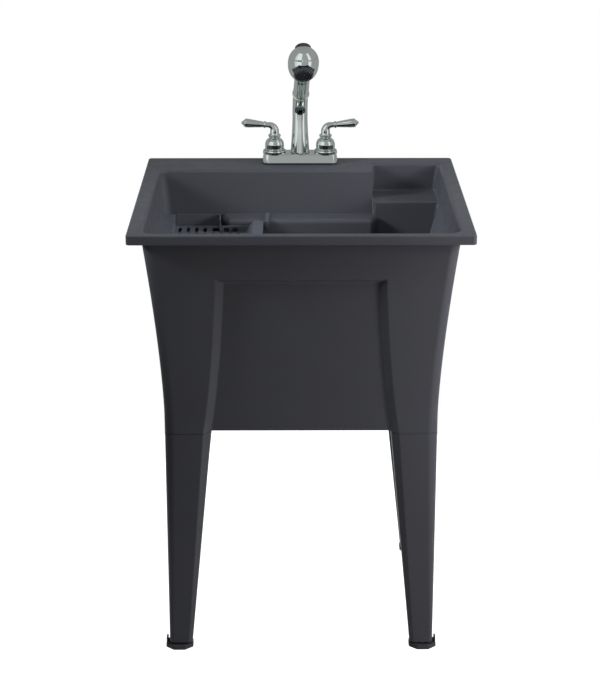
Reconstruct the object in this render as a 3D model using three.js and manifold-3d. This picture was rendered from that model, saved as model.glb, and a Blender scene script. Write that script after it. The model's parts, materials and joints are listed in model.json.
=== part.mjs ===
// Utility laundry sink: a moulded tub on four plug-in legs with a two-handle tap and a pull-out spray.
// Millimetres, +Z up, front towards -Y, origin on the floor under the middle of the rim.
import * as THREE from "three";
import { mergeVertices } from "three/addons/utils/BufferGeometryUtils.js";
import Module from "manifold-3d";

const wasm = await Module();
wasm.setup();

// ---------------------------------------------------------------- driving dimensions

// Clearances
const SEAT_GAP = 0.3; // between two pieces that rest on each other
const SLIDE_GAP = 0.4; // round a piece that plugs into another

// Rim and tub
const RIM_WIDTH = 610;
const RIM_DEPTH = 559;
const RIM_HEIGHT = 838; // floor to the top of the rim
const RIM_LIP = 17; // height of the rim's outer face
const RIM_CORNER = 6;
const WALL = 4; // skin of the moulding
const BODY_TOP_INSET = 23.5; // rim edge to the body just under the rim
const BODY_BOTTOM_INSET = 54; // rim edge to the body at the leg seam
const FLARE_POWER = 1.45;
const UPRIGHT_HEIGHT = 34; // foot of the body that stands upright, above the leg seam
const BODY_CORNER = 20;
const APRON_RISE = 2; // leg seam to the bottom edge of the panels

// Corner posts and the panels between them
const POST_TOP_DEPTH = 101; // rim top to the top of the front panel
const SIDE_PANEL_DEPTH = 110; // rim top to the top of the side panels
const POST_TOP_WIDTH = 119.5;
const POST_BOTTOM_WIDTH = 71.5;
const POST_BEVEL = 14; // width of the slanted edge beside a panel
const PANEL_RECESS = 13;

// Basin
const DECK = 99; // rear rim edge to the basin
const FRONT_RIM = 20;
const SIDE_RIM = 28;
const EDGE_ROUND = 6;
const BASIN_CORNER = 26;
const BASIN_DEPTH = 330;
const FLOOR_FILLET = 24;
const REAR_DRAFT = 0.14; // forward lean of the rear wall down to the step
const REAR_DRAFT_LOW = 0.04;
const DISH_DROP = 8; // fall of the floor towards the drain
const DISH_RADIUS = 168;

// Step on the rear wall
const STEP_DEPTH = 85; // rim top to the step
const STEP_HALF_WIDTH = 153;
const STEP_TAPER = 12;
const STEP_REACH = 46; // how far it stands out of the rear wall
const STEP_ROUND = 8;

// Soap shelf in the rear right corner
const SHELF_LEFT = 143;
const SHELF_DEPTH = 56; // rim top to the shelf
const SHELF_BACK = 43; // rear rim edge to the shelf's back wall
const SHELF_REACH = 25; // how far the shelf stands out of the rear wall

// Legs and feet
const TENON = 50;
const TENON_HEADROOM = 6; // tenon's top to the roof of its socket
const LEG_BOTTOM_WIDTH = 43.5;
const LEG_BOTTOM_DEPTH = 38; // square to the width: the rear legs are the front ones turned a quarter
const LEG_BOTTOM_CORNER = 8;
const LEG_BOTTOM_BEVEL = 7;
const LEG_BOTTOM_RECESS = 6;
const LEG_INNER_CUT = 6;
const LEG_FLOOR = 12;
const LEG_CLEARANCE = 13; // floor to the bottom of the leg
const FOOT_OFFSET = 18.5; // leg's outer face beside the pad's lip to the foot's axis
const FOOT_SET_BACK = 17; // leg's other outer face to the foot's axis
const PAD_ACROSS = 52;
const PAD_DEPTH = 44;
const PAD_THICKNESS = 9;
const PAD_SOCKET_FLOOR = 3;
const PAD_LIP_HEIGHT = 21;
const PAD_LIP_WALL = 3.2;
const SCREW_RADIUS = 6;
const SCREW_LENGTH = 56;
const COLLAR_RADIUS = 11;
const INSERT_RADIUS = 10;
const INSERT_FLANGE = 12.5;
const INSERT_FLANGE_THICKNESS = 2;

// Tap, measured from the deck
const TAP_BACK = 33; // rear rim edge to the tap's axis
const VALVE_SPACING = 101.6;
const BASE_LENGTH = 150;
const BASE_WIDTH = 50;
const BASE_HEIGHT = 20;
const BASE_DRAFT = 2;
const BASE_WALL = 2.5;
const GASKET_THICKNESS = 1.5;
const COLLAR_HEIGHT = 5;
const COLLAR_WALL = 3;
const BODY_RADIUS = 14; // valve bodies
const SHANK_RADIUS = 10.5;
const SHANK_LENGTH = 55;
const SHANK_BORE = 5;
const POST_RADIUS = 11; // swivel post of the spout
const HOSE_BORE = 8;
const POST_HEIGHT = 58;
const BONNET_RADIUS = 19.3;
const BONNET_HEIGHT = 30;
const STEM_RADIUS = 4;
const HUB_RADIUS = 12.5;
const HANDLE_REACH = 66; // stem axis to the tip of the lever
const LEVER_RISE = 5;

// Spout and spray
const SPOUT_BASE_RADIUS = 19;
const SPOUT_RADIUS = 15;
const SPOUT_BORE = 11;
const SPOUT_UPRIGHT = 100;
const SPOUT_BEND_RADIUS = 40;
const SPOUT_LEAN = 50; // degrees between the spray's axis and the vertical
const SPOUT_SWIVEL = 2.7; // degrees that the spout rests turned to the right
const SPOUT_NECK = 20;
const BUSH_WALL = 1.7;
const DOCK_RADIUS = 16.7;
const DOCK_THICKNESS = 3.5;
const GUIDE_LENGTH = 16;
const WAND_LENGTH = 162;
const WAND_NECK_RADIUS = 15.5;
const HEAD_RADIUS = 29.5;
const HEAD_CENTRE = 127; // along the wand, from the spout's mouth
const SPIGOT_LENGTH = 12;
const FACE_RADIUS = 17;
const FACE_CENTRE = 117;
const FACE_LEVEL = 23; // wand's axis to the flat that holds the nozzle plate
const FACE_RECESS = 3;
const FACE_PROUD = 3;
const BUTTON_WIDTH = 31;
const BUTTON_LENGTH = 38;
const BUTTON_CENTRE = 127;
const BUTTON_PROUD = 4.5;
const BUTTON_TRAVEL = 3;

// Drain
const STRAINER_RADIUS = 44.5;
const FLANGE_RADIUS = 57;
const STRAINER_DEPTH = 46;
const OUTLET_RADIUS = 21;
const OUTLET_LENGTH = 16;
const SHEET = 2; // metal of the strainer
const BOSS_THICKNESS = 5;
const TAIL_RADIUS = 19;
const TAIL_LENGTH = 52;
const TAIL_WALL = 1.7;
const BASKET_DEPTH = 30; // strainer basket below the floor
const BASKET_FLOOR_RADIUS = 26;
const BASKET_SKIN = 1.6;
const BASKET_LIP = 2.6; // how far the basket's edge lies over the strainer's mouth
const KNOB_RADIUS = 6;
const KNOB_STEM_RADIUS = 3;
const KNOB_TOP = 5; // below the floor
const BASKET_HOLE_CIRCLE = 16;
const BASKET_HOLE_RADIUS = 2.6;
const BASKET_HOLES = 12;

// Caddy
const CADDY_SIDE_GAP = 3.5; // caddy's left edge to the basin's side wall
const CADDY_RIGHT = 72; // right edge, to the left of the middle
const CADDY_FRONT = 16.5; // behind the middle of the rim
const CADDY_FLANGE = 17; // at the left and right
const CADDY_FRONT_FLANGE = 8;
const CADDY_SKIN = 2.5;
const CADDY_HEIGHT = 26;
const CADDY_WALL_GAP = 3;
const CADDY_SCOOP = 16; // slope of the right wall
const CADDY_NOTCH_DROP = 11; // how much lower the wall is in front of the step
const SLOT_WIDTH = 6.5;
const SLOT_PITCH = 16.5;
const SLOT_LENGTH = 30;
const SLOT_ROWS = 3;
const WIDE_SLOT = 14;
const HOOK_WIDTH = 8;
const LEDGE_WIDTH = 10;

// Facets
const FINE = 24;
const COARSE = 16;
const SMALL = 12;
const CORNER_STEPS = 3;

// ---------------------------------------------------------------- shapes

const floorUnderside = BASIN_DEPTH + WALL;
const seamDepth = floorUnderside + WALL + TENON + TENON_HEADROOM; // rim top to the joint of post and leg
const apronDepth = seamDepth - APRON_RISE;
const flareDepth = seamDepth - UPRIGHT_HEIGHT; // below this the body stands upright
const bodyBottom = RIM_HEIGHT - seamDepth;
const height = (depth) => RIM_HEIGHT - depth; // a depth below the rim as a height above the floor
const mix = (a, b, t) => a + (b - a) * t;
const rad = THREE.MathUtils.degToRad;

// A closed geometry as a solid that can be cut and joined, its faces turned outwards.
function solid(geometry) {
  const bare = new THREE.BufferGeometry();
  bare.setAttribute("position", geometry.getAttribute("position"));
  if (geometry.index) bare.setIndex(geometry.index);
  const merged = mergeVertices(bare, 1e-4);
  const corners = merged.index.array;
  const triangles = [];
  for (let i = 0; i < corners.length; i += 3) {
    const [a, b, c] = corners.slice(i, i + 3);
    if (a !== b && b !== c && c !== a) triangles.push(a, b, c);
  }
  const build = (triVerts) =>
    new wasm.Manifold(
      new wasm.Mesh({
        numProp: 3,
        vertProperties: new Float32Array(merged.attributes.position.array),
        triVerts: new Uint32Array(triVerts),
      }),
    );
  const made = build(triangles);
  return made.volume() < 0 ? build(triangles.reverse()) : made;
}

// A solid as a named mesh.
function mesh(name, made, material) {
  const data = made.getMesh();
  const geometry = new THREE.BufferGeometry();
  geometry.setAttribute("position", new THREE.BufferAttribute(data.vertProperties, 3));
  geometry.setIndex(new THREE.BufferAttribute(data.triVerts, 1));
  geometry.computeVertexNormals();
  const piece = new THREE.Mesh(geometry, material);
  piece.name = name;
  return piece;
}

// A cylinder along Z from one height to another.
function cylinder(radius, low, high, x = 0, y = 0, sides = COARSE) {
  const geometry = new THREE.CylinderGeometry(radius, radius, high - low, sides);
  geometry.rotateX(Math.PI / 2).translate(x, y, (low + high) / 2);
  return solid(geometry);
}

// A ring along Z.
function ring(outer, inner, low, high, sides = COARSE) {
  return cylinder(outer, low, high, 0, 0, sides).subtract(cylinder(inner, low - 1, high + 1, 0, 0, sides));
}

// A box between two corners.
function box(x0, x1, y0, y1, z0, z1) {
  const geometry = new THREE.BoxGeometry(x1 - x0, y1 - y0, z1 - z0);
  geometry.translate((x0 + x1) / 2, (y0 + y1) / 2, (z0 + z1) / 2);
  return solid(geometry);
}

// A flat outline of [x, y] points raised from one height to another.
function prism(points, low, high) {
  const outline = new THREE.Shape(points.map(([x, y]) => new THREE.Vector2(x, y)));
  const geometry = new THREE.ExtrudeGeometry(outline, { depth: high - low, bevelEnabled: false });
  geometry.translate(0, 0, low);
  return solid(geometry);
}

// A profile of [radius, height] points turned about Z. It starts and ends on the axis, or closes on itself.
function turned(profile, sides = FINE) {
  const points = profile.map(([r, z]) => new THREE.Vector2(r, z));
  if (profile[0][0] > 0) points.push(points[0].clone());
  return new THREE.LatheGeometry(points, sides).rotateX(Math.PI / 2);
}

const lathe = (profile, sides = FINE) => solid(turned(profile, sides));

// A skin through rings of [x, y, z] points, closed at both ends. Every ring is convex and has as many points.
function skin(rings) {
  const count = rings[0].length;
  const last = (rings.length - 1) * count;
  const index = [];
  for (let r = 0; r < rings.length - 1; r++)
    for (let i = 0; i < count; i++) {
      const j = (i + 1) % count;
      const [a, b, c, d] = [r * count + i, r * count + j, (r + 1) * count + i, (r + 1) * count + j];
      index.push(a, b, d, a, d, c);
    }
  for (let i = 1; i < count - 1; i++) {
    index.push(0, i + 1, i);
    index.push(last, last + i, last + i + 1);
  }
  const geometry = new THREE.BufferGeometry();
  geometry.setAttribute("position", new THREE.Float32BufferAttribute(rings.flat(2), 3));
  geometry.setIndex(index);
  return geometry;
}

const loft = (rings) => solid(skin(rings));

// Rounded rectangle between two corners, as [x, y] points.
function roundedRectangle(x0, x1, y0, y1, radius, steps = CORNER_STEPS) {
  const centres = [
    [x1 - radius, y1 - radius],
    [x0 + radius, y1 - radius],
    [x0 + radius, y0 + radius],
    [x1 - radius, y0 + radius],
  ];
  return centres.flatMap(([x, y], corner) =>
    Array.from({ length: steps + 1 }, (_, i) => {
      const angle = (Math.PI / 2) * (corner + i / steps);
      return [x + radius * Math.cos(angle), y + radius * Math.sin(angle)];
    }),
  );
}

const at = (points, z) => points.map(([x, y]) => [x, y, z]);

// Rings of a round rod along a path in the YZ plane, each square to the path. A station is [y, z, radius].
function rodRings(stations, sides = FINE) {
  return stations.map(([y, z, radius], k) => {
    const [y0, z0] = stations[Math.max(k - 1, 0)];
    const [y1, z1] = stations[Math.min(k + 1, stations.length - 1)];
    const length = Math.hypot(y1 - y0, z1 - z0);
    const [ay, az] = [(z1 - z0) / length, -(y1 - y0) / length];
    return Array.from({ length: sides }, (_, i) => {
      const angle = (2 * Math.PI * i) / sides;
      const across = radius * Math.sin(angle);
      return [radius * Math.cos(angle), y + ay * across, z + az * across];
    });
  });
}

const rod = (stations, sides = FINE) => loft(rodRings(stations, sides));

// ---------------------------------------------------------------- materials

function finish(color, roughness, metalness) {
  return new THREE.MeshStandardMaterial({ color, roughness, metalness });
}

const plastic = finish(0x4a4b4f, 0.45, 0);
const caddyPlastic = finish(0x4d4f54, 0.45, 0);
const footPlastic = finish(0x3c3d40, 0.5, 0);
const chrome = finish(0xb9c2bd, 0.08, 1);
const brass = finish(0xb59a5a, 0.35, 1);
const steel = finish(0xb4b6b8, 0.3, 1);
const rubber = finish(0x1c1c1e, 0.7, 0);
const whitePlastic = finish(0xd8d8d4, 0.5, 0);

// ---------------------------------------------------------------- tub

const flareShares = [0, 0.08, 0.18, 0.3, 0.43, 0.58, 0.74, 1];
const flareDepths = flareShares.map((share) => mix(RIM_LIP, flareDepth, share));

// Distance from the rim's edge to the outside of the body at a depth, straight between the stations.
function inset(depth) {
  const curve = (d) => {
    const t = (d - RIM_LIP) / (flareDepth - RIM_LIP);
    return BODY_BOTTOM_INSET - (BODY_BOTTOM_INSET - BODY_TOP_INSET) * (1 - t) ** FLARE_POWER;
  };
  const within = THREE.MathUtils.clamp(depth, RIM_LIP, flareDepth);
  const k = Math.max(flareDepths.findIndex((station) => station >= within), 1);
  const [above, below] = [flareDepths[k - 1], flareDepths[k]];
  return mix(curve(above), curve(below), (within - above) / (below - above));
}

// Width of a corner post's flat face.
function postWidth(depth) {
  const t = THREE.MathUtils.clamp((depth - POST_TOP_DEPTH) / (apronDepth - POST_TOP_DEPTH), 0, 1);
  return mix(POST_TOP_WIDTH, POST_BOTTOM_WIDTH, t);
}

// Y of the basin's rear wall.
function rearWall(depth) {
  const upper = Math.min(depth, STEP_DEPTH);
  return RIM_DEPTH / 2 - DECK - REAR_DRAFT * upper - REAR_DRAFT_LOW * (depth - upper);
}

function bodySolid() {
  const outline = (depth) => {
    const margin = inset(depth);
    const [x, y] = [RIM_WIDTH / 2 - margin, RIM_DEPTH / 2 - margin];
    return at(roundedRectangle(-x, x, -y, y, BODY_CORNER), height(depth));
  };
  const [x, y] = [RIM_WIDTH / 2 - BODY_TOP_INSET, RIM_DEPTH / 2];
  const top = roundedRectangle(-x, x, -y + FRONT_RIM - WALL, y - BODY_TOP_INSET, BODY_CORNER);
  return loft([at(top, height(WALL / 2)), ...flareDepths.map(outline), outline(seamDepth)]);
}

function rimSolid() {
  const [x, y] = [RIM_WIDTH / 2, RIM_DEPTH / 2];
  const outer = (grow, z) => at(roundedRectangle(-x - grow, x + grow, -y - grow, y + grow, RIM_CORNER), z);
  const edge = 1.5;
  const slab = loft([
    outer(-edge, height(RIM_LIP)),
    outer(0, height(RIM_LIP - edge)),
    outer(0, height(edge)),
    outer(-edge, RIM_HEIGHT),
  ]);
  const hollow = prism(
    roundedRectangle(-x + WALL, x - WALL, -y + WALL, y - WALL, RIM_CORNER),
    height(RIM_LIP + 1),
    height(WALL),
  );
  return slab.subtract(hollow);
}

// The space of one recessed panel, with skin > 0 the same space grown by the wall behind it.
// side is [x, y], the direction that the panel faces.
function panelSpace(side, topDepth, skin) {
  const [sx, sy] = side;
  const halfAcross = (sx ? RIM_DEPTH : RIM_WIDTH) / 2;
  const halfOut = (sx ? RIM_WIDTH : RIM_DEPTH) / 2;
  const section = (depth, recess) => {
    const edge = halfAcross - inset(depth) - postWidth(depth);
    const surface = halfOut - inset(depth);
    const share = recess / PANEL_RECESS;
    const outer = edge + Math.SQRT2 * skin;
    const inner = edge - POST_BEVEL * share + (Math.SQRT2 - 1) * skin;
    const deep = surface - recess - skin;
    const flat = [
      [-outer, surface + WALL],
      [-outer, surface],
      [-inner, deep],
      [inner, deep],
      [outer, surface],
      [outer, surface + WALL],
    ];
    return flat.map(([across, out]) =>
      sx ? [out * sx, across, height(depth)] : [across, out * sy, height(depth)],
    );
  };
  const depths = [...flareDepths.filter((depth) => depth > topDepth), seamDepth + WALL];
  const above = topDepth - PANEL_RECESS - skin * (Math.SQRT2 - 1);
  return loft([
    section(above, -skin),
    section(topDepth - skin * (Math.SQRT2 - 1), PANEL_RECESS),
    ...depths.map((depth) => section(depth, PANEL_RECESS)),
  ]);
}

// Outline of the basin, or of the space under its floor, at a depth.
function basinRing(depth, shrink = 0, radius = BASIN_CORNER) {
  const margin = inset(depth) + WALL + shrink;
  const side = depth < RIM_LIP ? SIDE_RIM + shrink : margin;
  const front = depth < RIM_LIP ? mix(FRONT_RIM, inset(RIM_LIP) + WALL, depth / RIM_LIP) + shrink : margin;
  const x = RIM_WIDTH / 2 - side;
  return at(
    roundedRectangle(-x, x, -RIM_DEPTH / 2 + front, rearWall(depth) - shrink, radius),
    height(depth),
  );
}

function basinSpace() {
  const edge = [0, 1, 2, 3].map((i) => {
    const angle = rad(30 * i);
    return basinRing(EDGE_ROUND * (1 - Math.cos(angle)), EDGE_ROUND * (Math.sin(angle) - 1));
  });
  const above = basinRing(0, -EDGE_ROUND).map(([x, y]) => [x, y, RIM_HEIGHT + 1]);
  const floor = [1, 2, 3].map((i) => {
    const angle = rad(30 * i);
    const depth = BASIN_DEPTH - FLOOR_FILLET * (1 - Math.sin(angle));
    return basinRing(depth, FLOOR_FILLET * (1 - Math.cos(angle)));
  });
  const walls = flareDepths.slice(0, -1).map((depth) => basinRing(depth));
  return loft([above, ...edge, ...walls, basinRing(BASIN_DEPTH - FLOOR_FILLET), ...floor]);
}

// The step across the rear wall, with skin > 0 the hollow behind it.
function stepSolid(skin) {
  const back = (depth) => rearWall(depth) + (skin ? 2 * WALL : 1);
  const front = (depth) => rearWall(STEP_DEPTH) - STEP_REACH - REAR_DRAFT_LOW * (depth - STEP_DEPTH);
  const section = (depth, shrink) => {
    const wide = STEP_HALF_WIDTH - skin - shrink;
    const narrow = wide - STEP_TAPER;
    const y = front(depth) + skin + shrink;
    const cut = STEP_ROUND / 2;
    return at(
      [
        [-wide, back(depth)],
        [-wide, y + STEP_REACH / 2],
        [-narrow - cut, y + cut],
        [-narrow, y],
        [narrow, y],
        [narrow + cut, y + cut],
        [wide, y + STEP_REACH / 2],
        [wide, back(depth)],
      ],
      height(depth),
    );
  };
  const top = STEP_DEPTH + skin;
  return loft([
    section(top, STEP_ROUND),
    section(top + STEP_ROUND * 0.3, STEP_ROUND * 0.3),
    section(top + STEP_ROUND, 0),
    section(BASIN_DEPTH + (skin ? 0 : 1), 0),
  ]);
}

const shelfFront = rearWall(SHELF_DEPTH) - SHELF_REACH;
const shelfBack = RIM_DEPTH / 2 - SHELF_BACK;
const basinHalfWidth = (depth) => RIM_WIDTH / 2 - inset(depth) - WALL;

// Solid body under the soap shelf, inside the basin.
function shelfBody() {
  const round = 6;
  const section = (depth, shrink) =>
    at(
      [
        [SHELF_LEFT + shrink, rearWall(depth) + 2 * WALL],
        [SHELF_LEFT + shrink, shelfFront + round + shrink],
        [SHELF_LEFT + round + shrink, shelfFront + shrink],
        [RIM_WIDTH / 2, shelfFront + shrink],
        [RIM_WIDTH / 2, rearWall(depth) + 2 * WALL],
      ],
      height(depth),
    );
  return loft([
    section(SHELF_DEPTH, round / 2),
    section(SHELF_DEPTH + round / 2, 0),
    section(BASIN_DEPTH + 1, 0),
  ]);
}

// Space over the soap shelf, open to the basin.
function shelfSpace() {
  const section = (depth, x, y) =>
    at(
      roundedRectangle(SHELF_LEFT, x, rearWall(SHELF_DEPTH) - 2 * WALL, y, 2 * WALL),
      height(depth),
    );
  const back = shelfBack - WALL;
  const over = RIM_WIDTH / 2 - SIDE_RIM;
  return loft([
    section(-1, over, shelfBack),
    section(0, over, shelfBack),
    section(SHELF_DEPTH, basinHalfWidth(SHELF_DEPTH) - 2, back),
  ]);
}

// Open back of the tub between the rear posts.
function backSpace() {
  const section = (depth, y) => {
    const x = RIM_WIDTH / 2 - inset(depth) - postWidth(depth) - POST_BEVEL;
    const front = rearWall(depth) + WALL;
    return at(
      [
        [-x, front],
        [x, front],
        [x, y],
        [-x, y],
      ],
      height(depth),
    );
  };
  const inLip = RIM_DEPTH / 2 - WALL;
  const beyond = RIM_DEPTH / 2 + WALL;
  const under = loft([section(WALL, inLip), section(RIM_LIP, inLip)]);
  const open = loft([...flareDepths, seamDepth + 1].map((depth) => section(depth, beyond)));
  return under.add(open);
}

// Hollow of a rear corner post. side is -1 on the left and 1 on the right.
function postHollow(side) {
  const topDepth = side > 0 ? SHELF_DEPTH + WALL : WALL;
  const section = (depth) => {
    const inner = RIM_WIDTH / 2 - inset(depth) - postWidth(depth) - POST_BEVEL + WALL;
    const outer = basinHalfWidth(depth);
    const front = side > 0 ? shelfFront + WALL : rearWall(depth) + WALL;
    const back = RIM_DEPTH / 2 - inset(depth) - WALL;
    const left = Math.max(inner, side > 0 ? SHELF_LEFT + WALL : 0);
    return at(
      [
        [left * side, front],
        [outer * side, front],
        [outer * side, back - BODY_CORNER / 2],
        [(outer - BODY_CORNER / 2) * side, back],
        [left * side, back],
      ],
      height(depth),
    );
  };
  const depths = flareDepths.filter((depth) => depth > topDepth && depth < floorUnderside);
  return loft([topDepth, ...depths, floorUnderside + 1].map(section));
}

// Outline of a leg in its corner: outer faces at u = 0 and w = 0, moved inwards by offset.
function legOutline(width, depth, corner, bevel, recess, offset) {
  const k = offset * Math.tan(rad(22.5));
  const near = corner - offset;
  const arc = Array.from({ length: CORNER_STEPS + 1 }, (_, i) => {
    const angle = rad(180 + (90 * i) / CORNER_STEPS);
    return [corner + near * Math.cos(angle), corner + near * Math.sin(angle)];
  });
  return [
    ...arc,
    [width - bevel - k, offset],
    [width - offset, recess + k],
    [width - offset, depth - LEG_INNER_CUT - k],
    [width - LEG_INNER_CUT - k, depth - offset],
    [recess + k, depth - offset],
    [offset, depth - bevel - k],
  ];
}

const LEG_TOP_WIDTH = POST_BOTTOM_WIDTH + POST_BEVEL;
const cornerX = RIM_WIDTH / 2 - BODY_BOTTOM_INSET;
const cornerY = RIM_DEPTH / 2 - BODY_BOTTOM_INSET;

// Place of the point [u, w] of a leg in a corner of the sink. The rear legs are turned a quarter.
function inCorner(sx, sy, u, w) {
  const [across, along] = sy < 0 ? [u, w] : [w, u];
  return [sx * (cornerX - across), sy * (cornerY - along)];
}

// A leg's outline at a share t of the way down, in its corner of the sink.
function legRing(sx, sy, t, offset, z) {
  const outline = legOutline(
    mix(LEG_TOP_WIDTH, LEG_BOTTOM_WIDTH, t),
    mix(LEG_TOP_WIDTH, LEG_BOTTOM_DEPTH, t),
    mix(BODY_CORNER, LEG_BOTTOM_CORNER, t),
    mix(POST_BEVEL, LEG_BOTTOM_BEVEL, t),
    mix(PANEL_RECESS, LEG_BOTTOM_RECESS, t),
    offset,
  );
  return outline.map(([u, w]) => [...inCorner(sx, sy, u, w), z]);
}

const CORNERS = [
  ["front_left", -1, -1],
  ["front_right", 1, -1],
  ["rear_left", -1, 1],
  ["rear_right", 1, 1],
];

const drainY = (-RIM_DEPTH / 2 + inset(BASIN_DEPTH) + WALL + rearWall(BASIN_DEPTH)) / 2;
const tapY = RIM_DEPTH / 2 - TAP_BACK;
const dishZ = height(BASIN_DEPTH + DISH_DROP);
const flangeRecess = SHEET + 2 * SEAT_GAP;
const hoseHole = 20;
const shankHole = BODY_RADIUS + 0.5;

function tub() {
  const panels = (skin) => [
    panelSpace([0, -1], POST_TOP_DEPTH, skin),
    panelSpace([1, 0], SIDE_PANEL_DEPTH, skin),
    panelSpace([-1, 0], SIDE_PANEL_DEPTH, skin),
  ];
  let outside = rimSolid().add(bodySolid());
  for (const space of panels(0)) outside = outside.subtract(space);

  let basin = basinSpace();
  for (const space of panels(WALL)) basin = basin.subtract(space);
  basin = basin.subtract(stepSolid(0)).subtract(shelfBody()).add(shelfSpace());
  const ledgeX = -basinHalfWidth(STEP_DEPTH);
  const ledgeTop = height(STEP_DEPTH + CADDY_SKIN + SEAT_GAP);
  const ledge = box(
    ledgeX - WALL,
    ledgeX + LEDGE_WIDTH,
    CADDY_FRONT + LEDGE_WIDTH,
    rearWall(STEP_DEPTH) + WALL,
    height(SIDE_PANEL_DEPTH),
    ledgeTop,
  );
  basin = basin.subtract(ledge);

  const underRings = [floorUnderside, flareDepth, seamDepth + 1].map((depth) => basinRing(depth));
  let under = loft(underRings);
  for (const space of panels(WALL)) under = under.subtract(space);
  const sockets = CORNERS.map(([, sx, sy]) =>
    loft([legRing(sx, sy, 0, 0, bodyBottom), legRing(sx, sy, 0, 0, height(floorUnderside))]),
  );
  for (const socket of sockets) under = under.subtract(socket);
  const socketTop = height(floorUnderside) - WALL;
  const pockets = CORNERS.map(([, sx, sy]) => {
    const top = sy > 0 ? socketTop + 2 * WALL : socketTop;
    return loft([legRing(sx, sy, 0, WALL, bodyBottom - 1), legRing(sx, sy, 0, WALL, top)]);
  });

  let made = outside.subtract(basin).subtract(under);
  const shelfShell = box(
    SHELF_LEFT - WALL,
    SHELF_LEFT + 4 * WALL,
    rearWall(0),
    shelfBack + WALL,
    height(SHELF_DEPTH + WALL),
    height(WALL / 2),
  );
  made = made.subtract(backSpace()).subtract(stepSolid(WALL)).add(shelfShell.subtract(basin));
  made = made.subtract(postHollow(-1)).subtract(postHollow(1));
  for (const pocket of pockets) made = made.subtract(pocket);

  // Panels end a little above the posts.
  const [postX, postY] = [cornerX - LEG_TOP_WIDTH, cornerY - LEG_TOP_WIDTH];
  made = made
    .subtract(box(-postX, postX, -RIM_DEPTH, RIM_DEPTH, bodyBottom - 1, height(apronDepth)))
    .subtract(box(-RIM_WIDTH, RIM_WIDTH, -postY, postY, bodyBottom - 1, height(apronDepth)));

  // Dished floor and drain hole.
  const bossTop = dishZ - flangeRecess;
  const round = (profile) => solid(turned(profile).translate(0, drainY, 0));
  const lower = round([
    [0, bossTop - BOSS_THICKNESS],
    [FLANGE_RADIUS + WALL, bossTop - BOSS_THICKNESS],
    [DISH_RADIUS, height(floorUnderside)],
    [DISH_RADIUS, height(BASIN_DEPTH) - 0.5],
    [0, height(BASIN_DEPTH) - 0.5],
  ]);
  const dish = round([
    [0, dishZ],
    [FLANGE_RADIUS + 1, dishZ],
    [DISH_RADIUS - WALL, height(BASIN_DEPTH)],
    [DISH_RADIUS - WALL, height(BASIN_DEPTH) + 1],
    [0, height(BASIN_DEPTH) + 1],
  ]);
  made = made.add(lower.subtract(stepSolid(WALL))).subtract(dish);
  made = made
    .subtract(cylinder(FLANGE_RADIUS + SLIDE_GAP, bossTop, dishZ + 1, 0, drainY, FINE))
    .subtract(cylinder(STRAINER_RADIUS + 1.5, bossTop - 20, dishZ, 0, drainY, FINE));

  // Deck holes of the tap.
  for (const side of [-1, 1])
    made = made.subtract(
      cylinder(shankHole, height(2 * WALL), RIM_HEIGHT + 1, (side * VALVE_SPACING) / 2, tapY),
    );
  return mesh("tub", made.subtract(cylinder(hoseHole, height(2 * WALL), RIM_HEIGHT + 1, 0, tapY)), plastic);
}

// ---------------------------------------------------------------- legs and feet

const padTop = PAD_THICKNESS;

function leg(corner, sx, sy) {
  const top = bodyBottom - SEAT_GAP;
  const tenonTop = bodyBottom + TENON;
  const fit = WALL + SLIDE_GAP;
  const outer = loft([legRing(sx, sy, 0, 0, top), legRing(sx, sy, 1, 0, LEG_CLEARANCE)]);
  const tenon = loft([legRing(sx, sy, 0, fit, tenonTop), legRing(sx, sy, 0, fit, top - WALL)]);
  const hollow = loft([
    legRing(sx, sy, 0, fit + WALL, tenonTop + 1),
    legRing(sx, sy, 0, fit + WALL, top),
    legRing(sx, sy, 1, WALL, LEG_CLEARANCE + LEG_FLOOR),
  ]);
  const hole = cylinder(
    INSERT_RADIUS + SLIDE_GAP,
    0,
    LEG_CLEARANCE + LEG_FLOOR + 1,
    ...inCorner(sx, sy, FOOT_OFFSET, FOOT_SET_BACK),
  );
  return mesh("leg_" + corner, outer.add(tenon).subtract(hollow).subtract(hole), plastic);
}

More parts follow.
